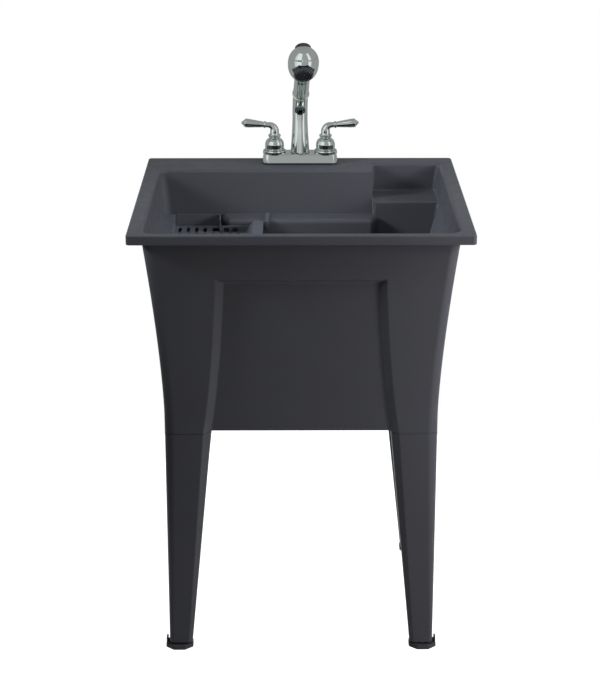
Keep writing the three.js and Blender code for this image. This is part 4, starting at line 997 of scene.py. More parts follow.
@dataclass
class Tub:
    """The moulding: basin with its rim, and the body round it."""

    drain_y: float
    form: TubForm = field(default_factory=TubForm)
    steps: int = 6
    edge_round: float = 6.0
    rim_round: float = 2.2
    alcove_round: float = 4.0
    shelf_round: float = 3.0
    step_round: float = 8.0
    dish_radius: float = 164.0
    dish_drop: float = 8.0
    drain_hole: float = 46.0
    flange_seat: float = 57.4
    dish_inner: float = 61.0
    seat_drop: float = 2.6
    seat_wall: float = 5.0
    long_runs: tuple[int, ...] = (2, 7, 15, 21)
    run_points: int = 15
    upper_depths: tuple[float, ...] = (35.0, 48.0)
    shelf_depths: tuple[float, ...] = (66.0, 76.0)
    lower_depths: tuple[float, ...] = (95, 98, 101, 104, 108, 111, 120, 150, 190, 230, 270)
    body_depths: tuple[float, ...] = (
        *(3.0, 10.0, 17.0, 30.0, 45.0, 62.0, 84.0, 87.5, 88.9, 89.1, 90.5, 93.0, 96.0, 98.5, 100.5, 102.0),
        *(104.0, 107.0, 109.5, 111.5, 115.0, 125.0, 140.0, 165.0, 190.0, 215.0, 245.0, 275.0, 305.0, 329.9),
        *(330.1, 345.0, 360.0, 384.0),
    )
    inside_depths: tuple[float, ...] = (384.0, 360.0, 345.0, 334.1, 333.9, 318.0)
    thinner_above: float = 310.0
    thin_wall: float = 2.0
    ledge_front: float = 26.5
    ledge_levels: tuple[Point, ...] = ((0.0, 730.0), (0.0, 749.4), (0.8, 750.2))

    def levels(self) -> list[Level]:
        """Outlines of the basin's surface.

        Returns:
            The outlines from the rim down to the floor.
        """
        form = self.form
        shelf, ledge, floor = form.shelf_depth, form.step_depth, form.basin_depth
        return [
            *(Level(past, short) for past, short in eased(self.edge_round, 5)),
            *(Level(depth) for depth in (form.lip, *self.upper_depths)),
            *(Level(shelf - short, alcove=past) for past, short in eased(self.alcove_round, 3)),
            *(Level(shelf + past, shelf=short) for past, short in eased(self.shelf_round, 4)),
            *(Level(depth, shelf=0.0) for depth in (*self.shelf_depths, ledge)),
            *(Level(ledge + past, 0.0, 0.0, short) for past, short in eased(self.step_round, 5)),
            *(Level(depth, 0.0, 0.0, 0.0) for depth in self.lower_depths),
            *(Level(floor - short, -past, 0.0, 0.0) for past, short in eased(form.floor_fillet, 7)),
        ]

    def spaced(self, corners: list[Corner], depth: float) -> Ring:
        """Rounded outline with added points along its long straight runs, which the round floor needs.

        Args:
            corners: The outline's corners.
            depth: Its depth below the rim.

        Returns:
            The outline's points.
        """
        points = outline(corners, self.steps)
        made = []
        for index, (x, y) in enumerate(points):
            made.append((x, y))
            corner, at = divmod(index, self.steps + 1)
            if at == self.steps and corner in self.long_runs:
                x1, y1 = points[index + 1]
                parts = (k / (self.run_points + 1) for k in range(1, self.run_points + 1))
                made += [(mix(x, x1, part), mix(y, y1, part)) for part in parts]
        return at_height(made, RIM_TOP - depth)

    def basin(self) -> Skin:
        """Basin, deck and rim as one closed skin.

        Returns:
            The skin.
        """
        form, levels = self.form, self.levels()

        def ring(level: Level) -> Ring:
            """Basin's outline at a level."""
            return self.spaced(form.basin_corners(level), level.depth)

        def rim(inset: float, depth: float) -> Ring:
            """Rim's outer edge at an inset and a depth."""
            return self.spaced(form.rim_corners(inset), depth)

        corners = form.basin_corners(levels[-1])
        reach, front, rear = corners[7][0] - 2.0, corners[2][1] + 2.0, corners[15][1] - 2.0
        held = [(clamp(x, -reach, reach), clamp(y, front, rear)) for x, y, _ in ring(levels[-1])]
        around = [(math.hypot(x, y - self.drain_y), math.atan2(y - self.drain_y, x)) for x, y in held]

        def round_(radius: float, depth: float, share: float = 1.0, fall: float = 0.0) -> Ring:
            """Circle about the drain, held to a share of the floor's reach and falling where it is held.

            Args:
                radius: The circle's radius.
                depth: Its depth.
                share: Share of the floor's reach.
                fall: How far it falls where it is held.

            Returns:
                The circle's points.
            """
            places = []
            for far, angle in around:
                r = min(radius, share * far)
                down = depth + fall * (radius - r) / (self.dish_radius - self.dish_inner)
                places.append((r * math.cos(angle), self.drain_y + r * math.sin(angle), RIM_TOP - down))
            return places

        flat, low = form.basin_depth, form.basin_depth + self.dish_drop
        seat = low + self.seat_drop
        under = seat + self.seat_wall
        rings = [
            round_(self.drain_hole, seat),
            round_(self.flange_seat, seat),
            round_(self.flange_seat, low + 0.4),
            round_(self.flange_seat + 0.8, low),
            round_(self.dish_inner, low - 0.1),
            round_(self.dish_radius - 6, flat + 0.35, 0.92, self.dish_drop - 0.45),
            round_(self.dish_radius, flat, 0.96, self.dish_drop - 0.1),
            at_height(held, RIM_TOP - flat),
            *(ring(level) for level in reversed(levels)),
            *(rim(short, past) for past, short in eased(self.rim_round, 4)),
            rim(0.0, form.lip - 1.2),
            rim(0.35, form.lip - 0.35),
            rim(1.2, form.lip),
            rim(form.wall - 0.5, form.lip),
            rim(form.wall, form.lip - 0.5),
            rim(form.wall, form.wall),
            *(ring(level.outside(form.skin)) for level in levels if level.depth >= self.edge_round),
            at_height(held, RIM_TOP - flat - form.wall),
            round_(self.dish_radius, flat + form.wall, 0.96),
            round_(self.dish_inner, under),
            round_(self.drain_hole, under),
        ]
        return Skin("basin").loft(rings, wrap=True)

    def hangs_low(self, index: int) -> bool:
        """Whether a point of the body's outline stands on a post, which ends lower than the apron.

        Args:
            index: The point's number.

        Returns:
            Whether it stands on a post.
        """
        corner, point = divmod(index, self.steps + 1)
        if corner in (2, 7, 23):
            return point <= self.steps // 2
        if corner in (3, 8, 24):
            return point >= self.steps // 2
        return corner in (0, 1, 4, 5, 6, 9, 10, 11, 12, 19, 20, 21, 22, 25)

    def body(self) -> Skin:
        """Posts, panels and apron as one closed skin.

        Returns:
            The skin.
        """
        form = self.form
        edge = form.apron_depth

        def ring(depth: float, inner: float = 0.0) -> Ring:
            """Body's outline at a depth, drawn in by a thickness.

            Args:
                depth: The depth.
                inner: The thickness.

            Returns:
                The outline's points.
            """
            hollow = form.step_depth + form.wall < depth < form.basin_depth + min(inner, form.wall)
            points = outline(form.body_corners(min(depth, edge), inner, hollow), self.steps)
            low = clamp((depth - edge + 3.0) / 3.0) * (form.seam_depth - edge)
            drops = (low if self.hangs_low(i) else 0.0 for i in range(len(points)))
            return [(x, y, RIM_TOP - depth - drop) for (x, y), drop in zip(points, drops)]

        rings = [
            *(ring(depth) for depth in self.body_depths),
            ring(edge - 0.8),
            ring(edge - 0.2, 0.25),
            ring(edge, 0.9),
            ring(edge, form.wall - 0.6),
            ring(edge - 0.8, form.wall),
            *(ring(depth, form.wall) for depth in self.inside_depths),
            *(
                ring(depth, self.thin_wall)
                for depth in reversed(self.body_depths)
                if depth < self.thinner_above
            ),
        ]
        return Skin("body").loft(rings, wrap=True)

    def build(self, workshop: Workshop) -> None:
        """Makes the tub and its ledge for the caddy.

        Args:
            workshop: What dresses the tub.
        """
        form = self.form
        x = -(form.width / 2 - form.inset(form.step_depth) - form.wall)
        y0, y1 = self.ledge_front, form.rear_wall(form.step_depth) + form.wall
        corners = [(x - 2, y0, 2.0), (x + 10, y0, 2.0), (x + 10, y1, 1.0), (x - 2, y1, 1.0)]
        rings = []
        for shift, z in self.ledge_levels:
            rings.append(at_height(outline([(px - shift, py, r) for px, py, r in corners], 3), z))
        parts = (self.basin(), self.body(), Skin("ledge").loft(rings))
        made = joined("tub_moulding", *(part.to_object() for part in parts))
        workshop.deliver(made, "tub_plastic", "sink", "tub")


# ---------------------------------------------------------------- legs


@dataclass
class Leg:
    """One plug-in leg with its pad, in a corner of the sink."""

    corner: str
    top: float = 443.7
    bottom: float = 13.0
    top_width: float = 85.5
    foot_width: float = 43.5
    foot_depth: float = 38.0
    post_x: float = 251.0
    post_y: float = 225.5
    bevel: Point = (14.0, 7.0)
    recess: Point = (13.0, 6.0)
    rounding: Point = (20.0, 8.0)
    axis: Point = (18.5, 17.0)
    insert_radius: float = 10.6
    insert_depth: float = 11.0
    pad_across: float = 52.0
    pad_depth: float = 44.0
    thread: Thread = Thread(6.0, 3.0, 14.0, 58.0, 0.55)

    def place(self, u: float, w: float) -> Point:
        """Turns a place in the corner into the sink's frame.

        Args:
            u: How far it is from the post's outer side.
            w: How far it is from the post's front or rear.

        Returns:
            X and Y.
        """
        sx, sy = CORNERS[self.corner]
        across, along = (u, w) if sy < 0 else (w, u)
        return sx * (self.post_x - across), sy * (self.post_y - along)

    def ring(self, z: float, offset: float) -> Ring:
        """Leg's outline.

        Args:
            z: Its height.
            offset: How far it is drawn in.

        Returns:
            The outline's points.
        """
        share = clamp((self.top - z) / (self.top - self.bottom))
        width = mix(self.top_width, self.foot_width, share) - offset
        depth = mix(self.top_width, self.foot_depth, share) - offset
        bevel, recess = mix(*self.bevel, share), mix(*self.recess, share)
        corners = [
            (offset, offset, mix(*self.rounding, share)),
            (width - bevel, offset, 4.0),
            (width, recess, 3.0),
            (width, depth - 6.0, 2.5),
            (width - 6.0, depth, 2.5),
            (recess, depth, 3.0),
            (offset, depth - bevel, 4.0),
        ]
        return [(*self.place(u, w), z) for u, w in outline(corners, 5)]

    def build(self, workshop: Workshop) -> None:
        """Makes the leg, its pad and the screw's thread.

        Args:
            workshop: What dresses them.
        """
        x, y = self.place(*self.axis)
        top, bottom = self.top, self.bottom
        levels = [(top, 1.2), (top - 0.4, 0.3), (top - 1.4, 0.0)]
        levels += [(mix(top - 6, bottom + 4, k / 7), 0.0) for k in range(8)]
        levels += [(bottom + 1.0, 0.0), (bottom + 0.3, 0.3), (bottom, 1.0)]
        rings = [self.ring(z, offset) for z, offset in levels]
        bearings = [math.atan2(py - y, px - x) for px, py, _ in rings[-1]]
        r = self.insert_radius
        for z in (bottom, bottom + self.insert_depth):
            rings.append([(x + r * math.cos(a), y + r * math.sin(a), z) for a in bearings])
        leg = Skin("plug_leg_" + self.corner).loft(rings).to_object()
        workshop.deliver(leg, "tub_plastic", "sink", "leg_" + self.corner)
        pad_body = "foot_pad_" + self.corner
        workshop.deliver(self.pad(x, y), "foot_plastic", pad_body, pad_body)
        steel = workshop.palette.get("stainless")
        ridge = self.thread.build("screw_thread_" + self.corner, Matrix.Translation((x, y, 0)), steel)
        workshop.deliver(ridge, "stainless", "foot_screw_" + self.corner)

    def pad(self, x: float, y: float) -> Piece:
        """Levelling pad with the lip that stands beside the leg.

        Args:
            x: Place of the foot's axis.
            y: Place of the foot's axis.

        Returns:
            The pad.
        """
        sx, sy = CORNERS[self.corner]
        flat = math.tan(math.pi / 8)

        def octagon(z: float, shrink: float) -> Ring:
            """Base's outline at a height.

            Args:
                z: The height.
                shrink: How far it is drawn in.

            Returns:
                The outline's points.
            """
            a, b = self.pad_across / 2 - shrink, self.pad_depth / 2 - shrink
            half = [(a, b * flat), (a * flat, b), (-a * flat, b), (-a, b * flat)]
            return rounded([*half, *((-px, -py) for px, py in half)], 2.5, z)

        def slab(z: float, narrower: float, thin: float) -> Ring:
            """Lip's outline at a height.

            Args:
                z: The height.
                narrower: How much narrower each half is.
                thin: How far each face is drawn in.

            Returns:
                The outline's points.
            """
            near, far = face - sx * thin, face - sx * (3.2 - thin)
            width = self.pad_depth / 2 * flat - 1.0 - narrower
            return rounded([(near, -width), (near, width), (far, width), (far, -width)], 1.2, z)

        face = sx * (self.pad_across / 2 - 0.9)
        octagons = ((0.0, 1.4), (0.4, 0.4), (1.4, 0.0), (7.4, 0.4), (8.6, 0.8), (9.0, 1.8), (9.0, 14.0))
        base = Skin("pad_base").loft([octagon(*level) for level in octagons])
        slabs = ((7.0, 0.0, 0.0), (16.5, 0.0, 0.0), (19.6, 2.2, 0.1), (21.0, 4.4, 0.7))
        lip = Skin("pad_lip").loft([slab(*level) for level in slabs])
        turn = Matrix.Rotation(0.0 if sy < 0 else sx * math.pi / 2, 4, "Z")
        where = Matrix.Translation((x, y, 0)) @ turn
        return joined("levelling_pad_" + self.corner, base.to_object(where), lip.to_object(where))


# ---------------------------------------------------------------- caddy


@dataclass
class Caddy:
    """Slotted tray in the rear left corner."""

    edge: float = 0.7
    flat_within: float = math.radians(1.0)
    bevel_from: float = math.radians(30.0)

    def build(self, workshop: Workshop) -> None:
        """Softens the tray's edges as a mould leaves them.

        Args:
            workshop: What holds the tray's node and dresses the piece.
        """
        mesh = bmesh.new()
        mesh.from_mesh(workshop.frame["nodes"]["caddy"].data)
        bmesh.ops.remove_doubles(mesh, verts=mesh.verts, dist=MERGE_WITHIN / 100)
        bmesh.ops.dissolve_limit(
            mesh, angle_limit=self.flat_within, verts=mesh.verts, edges=mesh.edges, delimit=set()
        )
        piece = plain("slotted_caddy", mesh)
        bevel = piece.modifiers.new("soft_edges", "BEVEL")
        bevel.width = self.edge * MILLIMETRE
        bevel.segments = 2
        bevel.limit_method = "ANGLE"
        bevel.angle_limit = self.bevel_from
        workshop.deliver(evaluated(piece), "caddy_plastic", "caddy", "caddy")


# ---------------------------------------------------------------- tap


@dataclass
class Tap:
    """Centre-set tap: cover, bonnets, levers and the spout. Sizes are from the deck up."""

    axis: Place = (0.0, 246.5, RIM_TOP)
    valve_x: float = 50.8
    cover_length: float = 150.0
    cover_width: float = 50.0
    cover_corner: float = 12.5
    hub_low: float = 50.6
    elbow: float = 11.0
    elbow_top: float = 24.5
    lever_reach: float = 66.0
    lever_rise: float = 5.0
    swivel: float = 2.7
    lean: float = math.radians(50.0)
    bend: float = 40.0
    upright: float = 100.0
    neck: float = 20.0
    column_low: float = 20.4
    column: float = 15.0
    thread: Thread = Thread(10.5, 1.8, -54.0, -6.0, 0.5)

    def deck(self) -> Matrix:
        """Where the tap stands on the deck."""
        return Matrix.Translation(self.axis)

    def valve(self, side: Side) -> Matrix:
        """Where a valve stands on the deck."""
        return self.deck() @ Matrix.Translation((side.value * self.valve_x, 0, 0))

    def swung(self) -> Matrix:
        """Where the spout stands, at rest a little to the right."""
        return self.deck() @ Matrix.Rotation(math.radians(self.swivel), 4, "Z")

    def mouth(self) -> Matrix:
        """Where the spray's axis starts and where it points.

        Returns:
            The spray's own frame.
        """
        y = -(self.bend * (1 - math.cos(self.lean)) + self.neck * math.sin(self.lean))
        z = self.upright + self.bend * math.sin(self.lean) + self.neck * math.cos(self.lean)
        return self.swung() @ Matrix.Translation((0, y, z)) @ Matrix.Rotation(self.lean, 4, "X")

    def cover(self) -> Piece:
        """Cover plate with a collar round each bonnet.

        Returns:
            The cover.
        """

        def ring(shrink: float, z: float) -> Ring:
            """Plate's outline at a height."""
            x, y = self.cover_length / 2 - shrink, self.cover_width / 2 - shrink
            return rounded([(-x, -y), (x, -y), (x, y), (-x, y)], self.cover_corner - shrink * 0.5, z, 12)

        levels = [(0.4, 2.1), (0.0, 2.6), (0.0, 4.0), (2.2, 16.2)]
        levels += [(2.2 + 3.0 * (1 - math.cos(a)), 16.6 + 3.4 * math.sin(a)) for a in quarter(6)[1:]]
        parts = [Skin("plate").loft([ring(shrink, z) for shrink, z in levels]).to_object(self.deck())]
        collar = [(0, 18.5, 0), (23.4, 18.5, 0), (23.0, 23.5, 0.8), (22.0, 25.0, 0.6), (19.8, 25.0, 0.4)]
        line = [*profile([*collar, (19.8, 19, 0)]), (0, 19.0)]
        parts += [Skin("collar").turn(line).to_object(self.valve(side)) for side in Side]
        return joined("tap_cover", *parts)

    def bonnet(self, side: Side) -> Piece:
        """Bell over a valve.

        Args:
            side: Which valve.

        Returns:
            The bell.
        """
        bell = [(0, 20.4, 0), (19.3, 20.4, 0.3), (19.3, 27.2, 0.7), (18.2, 27.9, 0.5), (18.4, 29.0, 0.5)]
        bell += [(19.0, 30.0, 1.0), (18.9, 37.5, 5.0), (16.8, 44.0, 5.0), (12.8, 47.8, 3.0)]
        bell += [(9.6, 49.6, 1.0), (9.4, 50.3, 0.3), (0, 50.3, 0)]
        return turned("valve_bonnet_" + side.word, bell, self.valve(side), 5)

    def lever(self, side: Side) -> Piece:
        """Lever with its hub, pointing away from the spout.

        Args:
            side: Which valve it stands on.

        Returns:
            The lever.
        """
        low, curve, end = self.hub_low, self.elbow, self.lever_reach
        hub = [(0, 0, 0), (10.6, 0, 0.6), (12.5, 2.0, 1.2), (12.5, 4.6, 1.2), (9.8, 6.6, 1.0)]
        hub += [(9.0, 9.0, 2.0), (8.6, 17.0, 1.0), (0, 17.0, 0)]
        height = low + self.elbow_top
        bends = enumerate(eased(curve, 12))
        elbow = [(past, height - short, mix(8.6, 5.6, i / 12)) for i, (past, short) in bends]
        marks = [(13.5, 5.4), (16.6, 5.3), (17.6, 6.5), (19.2, 6.9), (20.8, 6.5), (21.8, 5.6), (28, 6.3)]
        marks += [(38, 7.3), (48, 8.3), (54, 8.7), (57.6, 8.7), (58.9, 8.2), (59.5, 7.0), (60.6, 6.0)]
        marks += [(62.4, 4.4), (64.0, 3.0), (65.3, 2.0), (end, 0.3)]
        arm = [
            (reach, height + self.lever_rise * (reach - curve) / (end - curve), radius)
            for reach, radius in smooth_line(marks, 4)
        ]
        where = self.valve(side)
        outwards = where @ Matrix.Rotation(-side.value * math.pi / 2, 4, "Z")
        return joined(
            "lever_" + side.word,
            turned("hub", [(radius, low + z, round_) for radius, z, round_ in hub], where),
            Skin("arm").sweep([(0.0, low + 12.0, 8.6), *elbow[1:], *arm]).to_object(outwards),
        )

    def spout(self) -> Piece:
        """Upright column that leans forward at its top.

        Returns:
            The column.
        """
        low = self.column_low

        def swollen(z: float) -> float:
            """Radius of the column's upright part."""
            return self.column + 4.0 * max(0.0, 1 - (z - low) / 72.0) ** 1.6

        stations = [(0.0, low, swollen(low) - 0.7), (0.0, low + 0.5, swollen(low))]
        stations += [(0.0, z, swollen(z)) for z in (mix(low + 2, self.upright, k / 18) for k in range(19))]
        for i in range(1, 19):
            angle = self.lean * i / 18
            y = -self.bend * (1 - math.cos(angle))
            stations.append((y, self.upright + self.bend * math.sin(angle), self.column))
        end_y, end_z, _ = stations[-1]
        for share, radius in ((0.5, self.column), (0.97, self.column), (1.0, self.column - 0.4)):
            reach = self.neck * share
            y, z = end_y - reach * math.sin(self.lean), end_z + reach * math.cos(self.lean)
            stations.append((y, z, radius))
        return Skin("spout_column").sweep(stations, 72).to_object(self.swung())

    def dock(self) -> Piece:
        """Ring at the mouth where the spray parks."""
        bead = [(11.0, 0.3, 0), (15.2, 0.3, 0.4), (16.7, 1.0, 0.9), (16.7, 3.0, 0.9), (15.4, 3.8, 0.4)]
        return turned("dock_collar", [*bead, (11.0, 3.8, 0)], self.mouth())

    def build(self, workshop: Workshop) -> None:
        """Makes the tap's chrome and the threads under the deck.

        Args:
            workshop: What dresses them.
        """
        workshop.deliver(self.cover(), "chrome_plate", "sink", "base_plate")
        brass = workshop.palette.get("plain_brass")
        for side in Side:
            handle = "handle_" + side.word
            workshop.deliver(self.bonnet(side), "chrome_plate", "sink", "bonnet_" + side.word)
            workshop.deliver(self.lever(side), "chrome_plate", handle, handle)
            ridge = self.thread.build("shank_thread_" + side.word, self.valve(side), brass)
            workshop.deliver(ridge, "plain_brass", "sink")
        workshop.deliver(self.spout(), "chrome_plate", "spout", "spout")
        workshop.deliver(self.dock(), "chrome_plate", "spout", "dock_ring")
        Spray(self.mouth()).build(workshop)


@dataclass
class Spray:
    """Pull-out spray along its own axis, its nozzles on the underside."""

    where: Matrix
    foot: float = 4.1
    length: float = 162.0
    neck: float = 15.5
    head: float = 29.5
    head_at: float = 127.0
    flat: float = 23.0
    plate: float = 17.0
    plate_at: float = 117.0
    button_at: float = 127.0
    button_width: float = 31.0
    button_length: float = 38.0
    button_edge: float = 30.0
    button_top: float = 32.8

    def shell(self) -> Piece:
        """Chrome shell, flat below the head and with a well for the button.

        Returns:
            The shell.
        """
        neck, head, at, foot = self.neck, self.head, self.head_at, self.foot
        marks = [(neck, foot + 6), (neck - 0.6, 34.0), (neck - 0.4, 60.0), (neck + 0.5, at - 44)]
        marks += [(head * 0.74, at - 37), (head * 0.89, at - 29), (head * 0.97, at - 19)]
        marks += [(head * 0.997, at - 8), (head, at)]
        line = [(0.0, foot), (neck - 0.6, foot), (neck, foot + 0.8), (neck, foot + 3), *smooth_line(marks, 6)]
        rise = self.length - at
        line += [(head * math.cos(a), at + rise * math.sin(a)) for a in quarter(20)[1:-1]]
        piece = Skin("spray_shell").turn([*line, (0.0, self.length)], 120).to_object()
        reach = head + 5.0
        below = [(-reach, -reach), (reach, -reach), (reach, -self.flat), (-reach, -self.flat)]
        cut(piece, Skin("flat").loft([at_height(below, z) for z in (0.0, self.length + 5.0)]).to_object())
        cut(piece, Skin("well").loft([self.oval(-0.5, level) for level in (21.5, 60.0)]).to_object())
        piece.data.transform(METRES @ self.where @ METRES.inverted())
        return piece

    def oval(self, shrink: float, level: float) -> Ring:
        """Button's outline at a level above the spray's axis."""
        a, b = self.button_width / 2 - shrink, self.button_length / 2 - shrink
        return [(a * math.cos(t), level, self.button_at + b * math.sin(t)) for t in turns(64)]

    def button(self) -> Piece:
        """Domed push button.

        Returns:
            The button.
        """
        edge, dome = self.button_edge, self.button_top - self.button_edge
        levels = [(0.0, 24.9), (0.0, edge)]
        levels += [(7.5 * (1 - math.cos(a)) ** 1.3, edge + dome * math.sin(a)) for a in quarter(8)[1:]]
        rings = [self.oval(shrink, level) for shrink, level in [*levels, (11.0, self.button_top)]]
        return Skin("push_button").loft(rings).to_object(self.where)

    def face(self, rubber: Material) -> Piece:
        """Nozzle plate with its rings of rubber nozzles.

        Args:
            rubber: What the nozzles are made of.

        Returns:
            The plate.
        """
        low, high, edge = self.flat - 2.7, self.flat + 2.9, self.plate
        disc = [(0, low, 0), (edge, low, 0), (edge, high - 1.0, 1.0), (edge - 2.0, high, 0.8), (0, high, 0)]
        down = self.where @ Matrix.Translation((0, 0, self.plate_at)) @ Matrix.Rotation(math.pi / 2, 4, "X")
        parts = [turned("disc", disc, down)]
        for count, radius in ((5, 3.6), (10, 7.6), (15, 11.6)):
            nozzles = RingOfRepeats(Shape.PEG, count, radius, high - 0.3, (1.1, 0.7, 0.9))
            parts.append(nozzles.build("nozzles", down, rubber))
        return joined("nozzle_plate", *parts)

    def build(self, workshop: Workshop) -> None:
        """Makes the spray.

        Args:
            workshop: What dresses it.
        """
        rubber = workshop.palette.get("black_rubber")
        workshop.deliver(self.shell(), "chrome_plate", "wand", "wand")
        workshop.deliver(self.face(rubber), "black_rubber", "wand", "spray_face")
        workshop.deliver(self.button(), "black_rubber", "spray_button", "spray_button")


# ---------------------------------------------------------------- drain


@dataclass
class Drain:
    """Strainer in the floor, its nuts and the tailpiece. Heights are from the floor's lowest level."""

    y: float
    z: float = 500.0
    strainer: tuple[Corner, ...] = (
        *((57.0, -2.3, 0.4), (57.0, -1.1, 0.4), (46.5, -0.3, 1.5), (42.5, -5.3, 2.5), (42.5, -44.0, 4.0)),
        *((19.0, -46.0, 2.0), (19.0, -62.0, 0.2), (21.0, -62.0, 0.2), (21.0, -48.0, 2.0)),
        *((44.5, -46.0, 4.0), (44.5, -2.3, 0.5), (57.0, -2.3, 0)),
    )
    basket: tuple[Corner, ...] = (
        *((0, -30, 0), (26, -30, 2.0), (32.5, -26, 3.0), (40.5, -5.6, 2.0), (45.1, -1.2, 0.4)),
        *((44.7, -0.2, 0.4), (38.9, -4.2, 2.0), (31.1, -24.6, 3.0), (26, -28.4, 2.0), (3, -28.4, 0.5)),
        *((3, -12, 0.5), (6, -10, 0.8), (6, -6, 1.0), (0, -5, 0)),
    )
    ring_nut: tuple[Corner, ...] = (
        *((44.8, -23.9, 0), (50.5, -23.9, 0.6), (50.5, -12.9, 0.6), (44.8, -12.9, 0), (44.8, -23.9, 0)),
    )
    slip_nut: tuple[Corner, ...] = (
        *((19.4, -67.4, 0), (25.6, -67.4, 1.0), (26.2, -52.0, 0.6), (26.2, -50.0, 0.6), (21.4, -50.0, 0)),
        *((21.4, -64.6, 0), (19.4, -64.6, 0), (19.4, -67.4, 0)),
    )
    tailpiece: tuple[Corner, ...] = (
        *((17.3, -114.3, 0), (19.0, -114.3, 0.5), (19.0, -64.3, 0.5), (21.0, -64.3, 0.3)),
        *((21.0, -62.3, 0.3), (17.3, -62.3, 0), (17.3, -114.3, 0)),
    )
    holes: tuple[RingOfRepeats, ...] = (
        RingOfRepeats(Shape.PEG, 12, 16.0, -29.2, (2.6, 2.6, 8.0)),
        RingOfRepeats(Shape.PEG, 6, 8.5, -29.2, (2.6, 2.6, 8.0)),
    )
    lugs: RingOfRepeats = RingOfRepeats(Shape.BLOCK, 6, 52.0, -18.4, (12.0, 8.0, 10.0))
    ribs: RingOfRepeats = RingOfRepeats(Shape.BLOCK, 24, 25.9, -59.4, (1.8, 2.2, 14.0))

    def build(self, workshop: Workshop) -> None:
        """Makes the drain's pieces: the basket with its holes, the nuts with their lugs and ribs.

        Args:
            workshop: What dresses them.
        """
        where = Matrix.Translation((0, self.y, self.z))
        steel, plastic = workshop.palette.get("stainless"), workshop.palette.get("white_plastic")
        strainer = turned("strainer_body", self.strainer, where)
        workshop.deliver(strainer, "stainless", "sink", "drain_flange")
        basket = turned("strainer_basket", self.basket, where)
        for ring in self.holes:
            cut(basket, ring.build("holes", where, steel))
        workshop.deliver(basket, "stainless", "drain_basket", "drain_basket")
        for name, node, line, repeats in (
            ("ring_nut", "drain_locknut", self.ring_nut, self.lugs),
            ("ribbed_slip_nut", "slip_nut", self.slip_nut, self.ribs),
        ):
            nut = joined(name, turned("nut", line, where), repeats.build("grip", where, plastic))
            workshop.deliver(nut, "white_plastic", "sink", node)
        tail = turned("drain_tail", self.tailpiece, where)
        workshop.deliver(tail, "white_plastic", "sink", "tailpiece")


# ---------------------------------------------------------------- studio


@dataclass(frozen=True)
class Lamp:
    """A soft box that metal doesn't show. Sizes are in metres."""

    name: str
    place: Place
    aim: Place
    size: Point
    power: float
    tint: Place = (0.93, 0.98, 1.0)
    spread: float = 180.0

    def build(self) -> Piece:
        """Adds the lamp.

        Returns:
            The lamp.
        """
        data = bpy.data.lights.new(self.name, "AREA")
        data.shape = "RECTANGLE"
        data.size, data.size_y = self.size
        data.energy = self.power
        data.color = self.tint
        data.spread = math.radians(self.spread)
        lamp = placed(self.name, data)
        lamp.location = self.place
        lamp.visible_glossy = False
        lamp.rotation_euler = (Vector(self.aim) - Vector(self.place)).to_track_quat("-Z", "Y").to_euler()
        return lamp


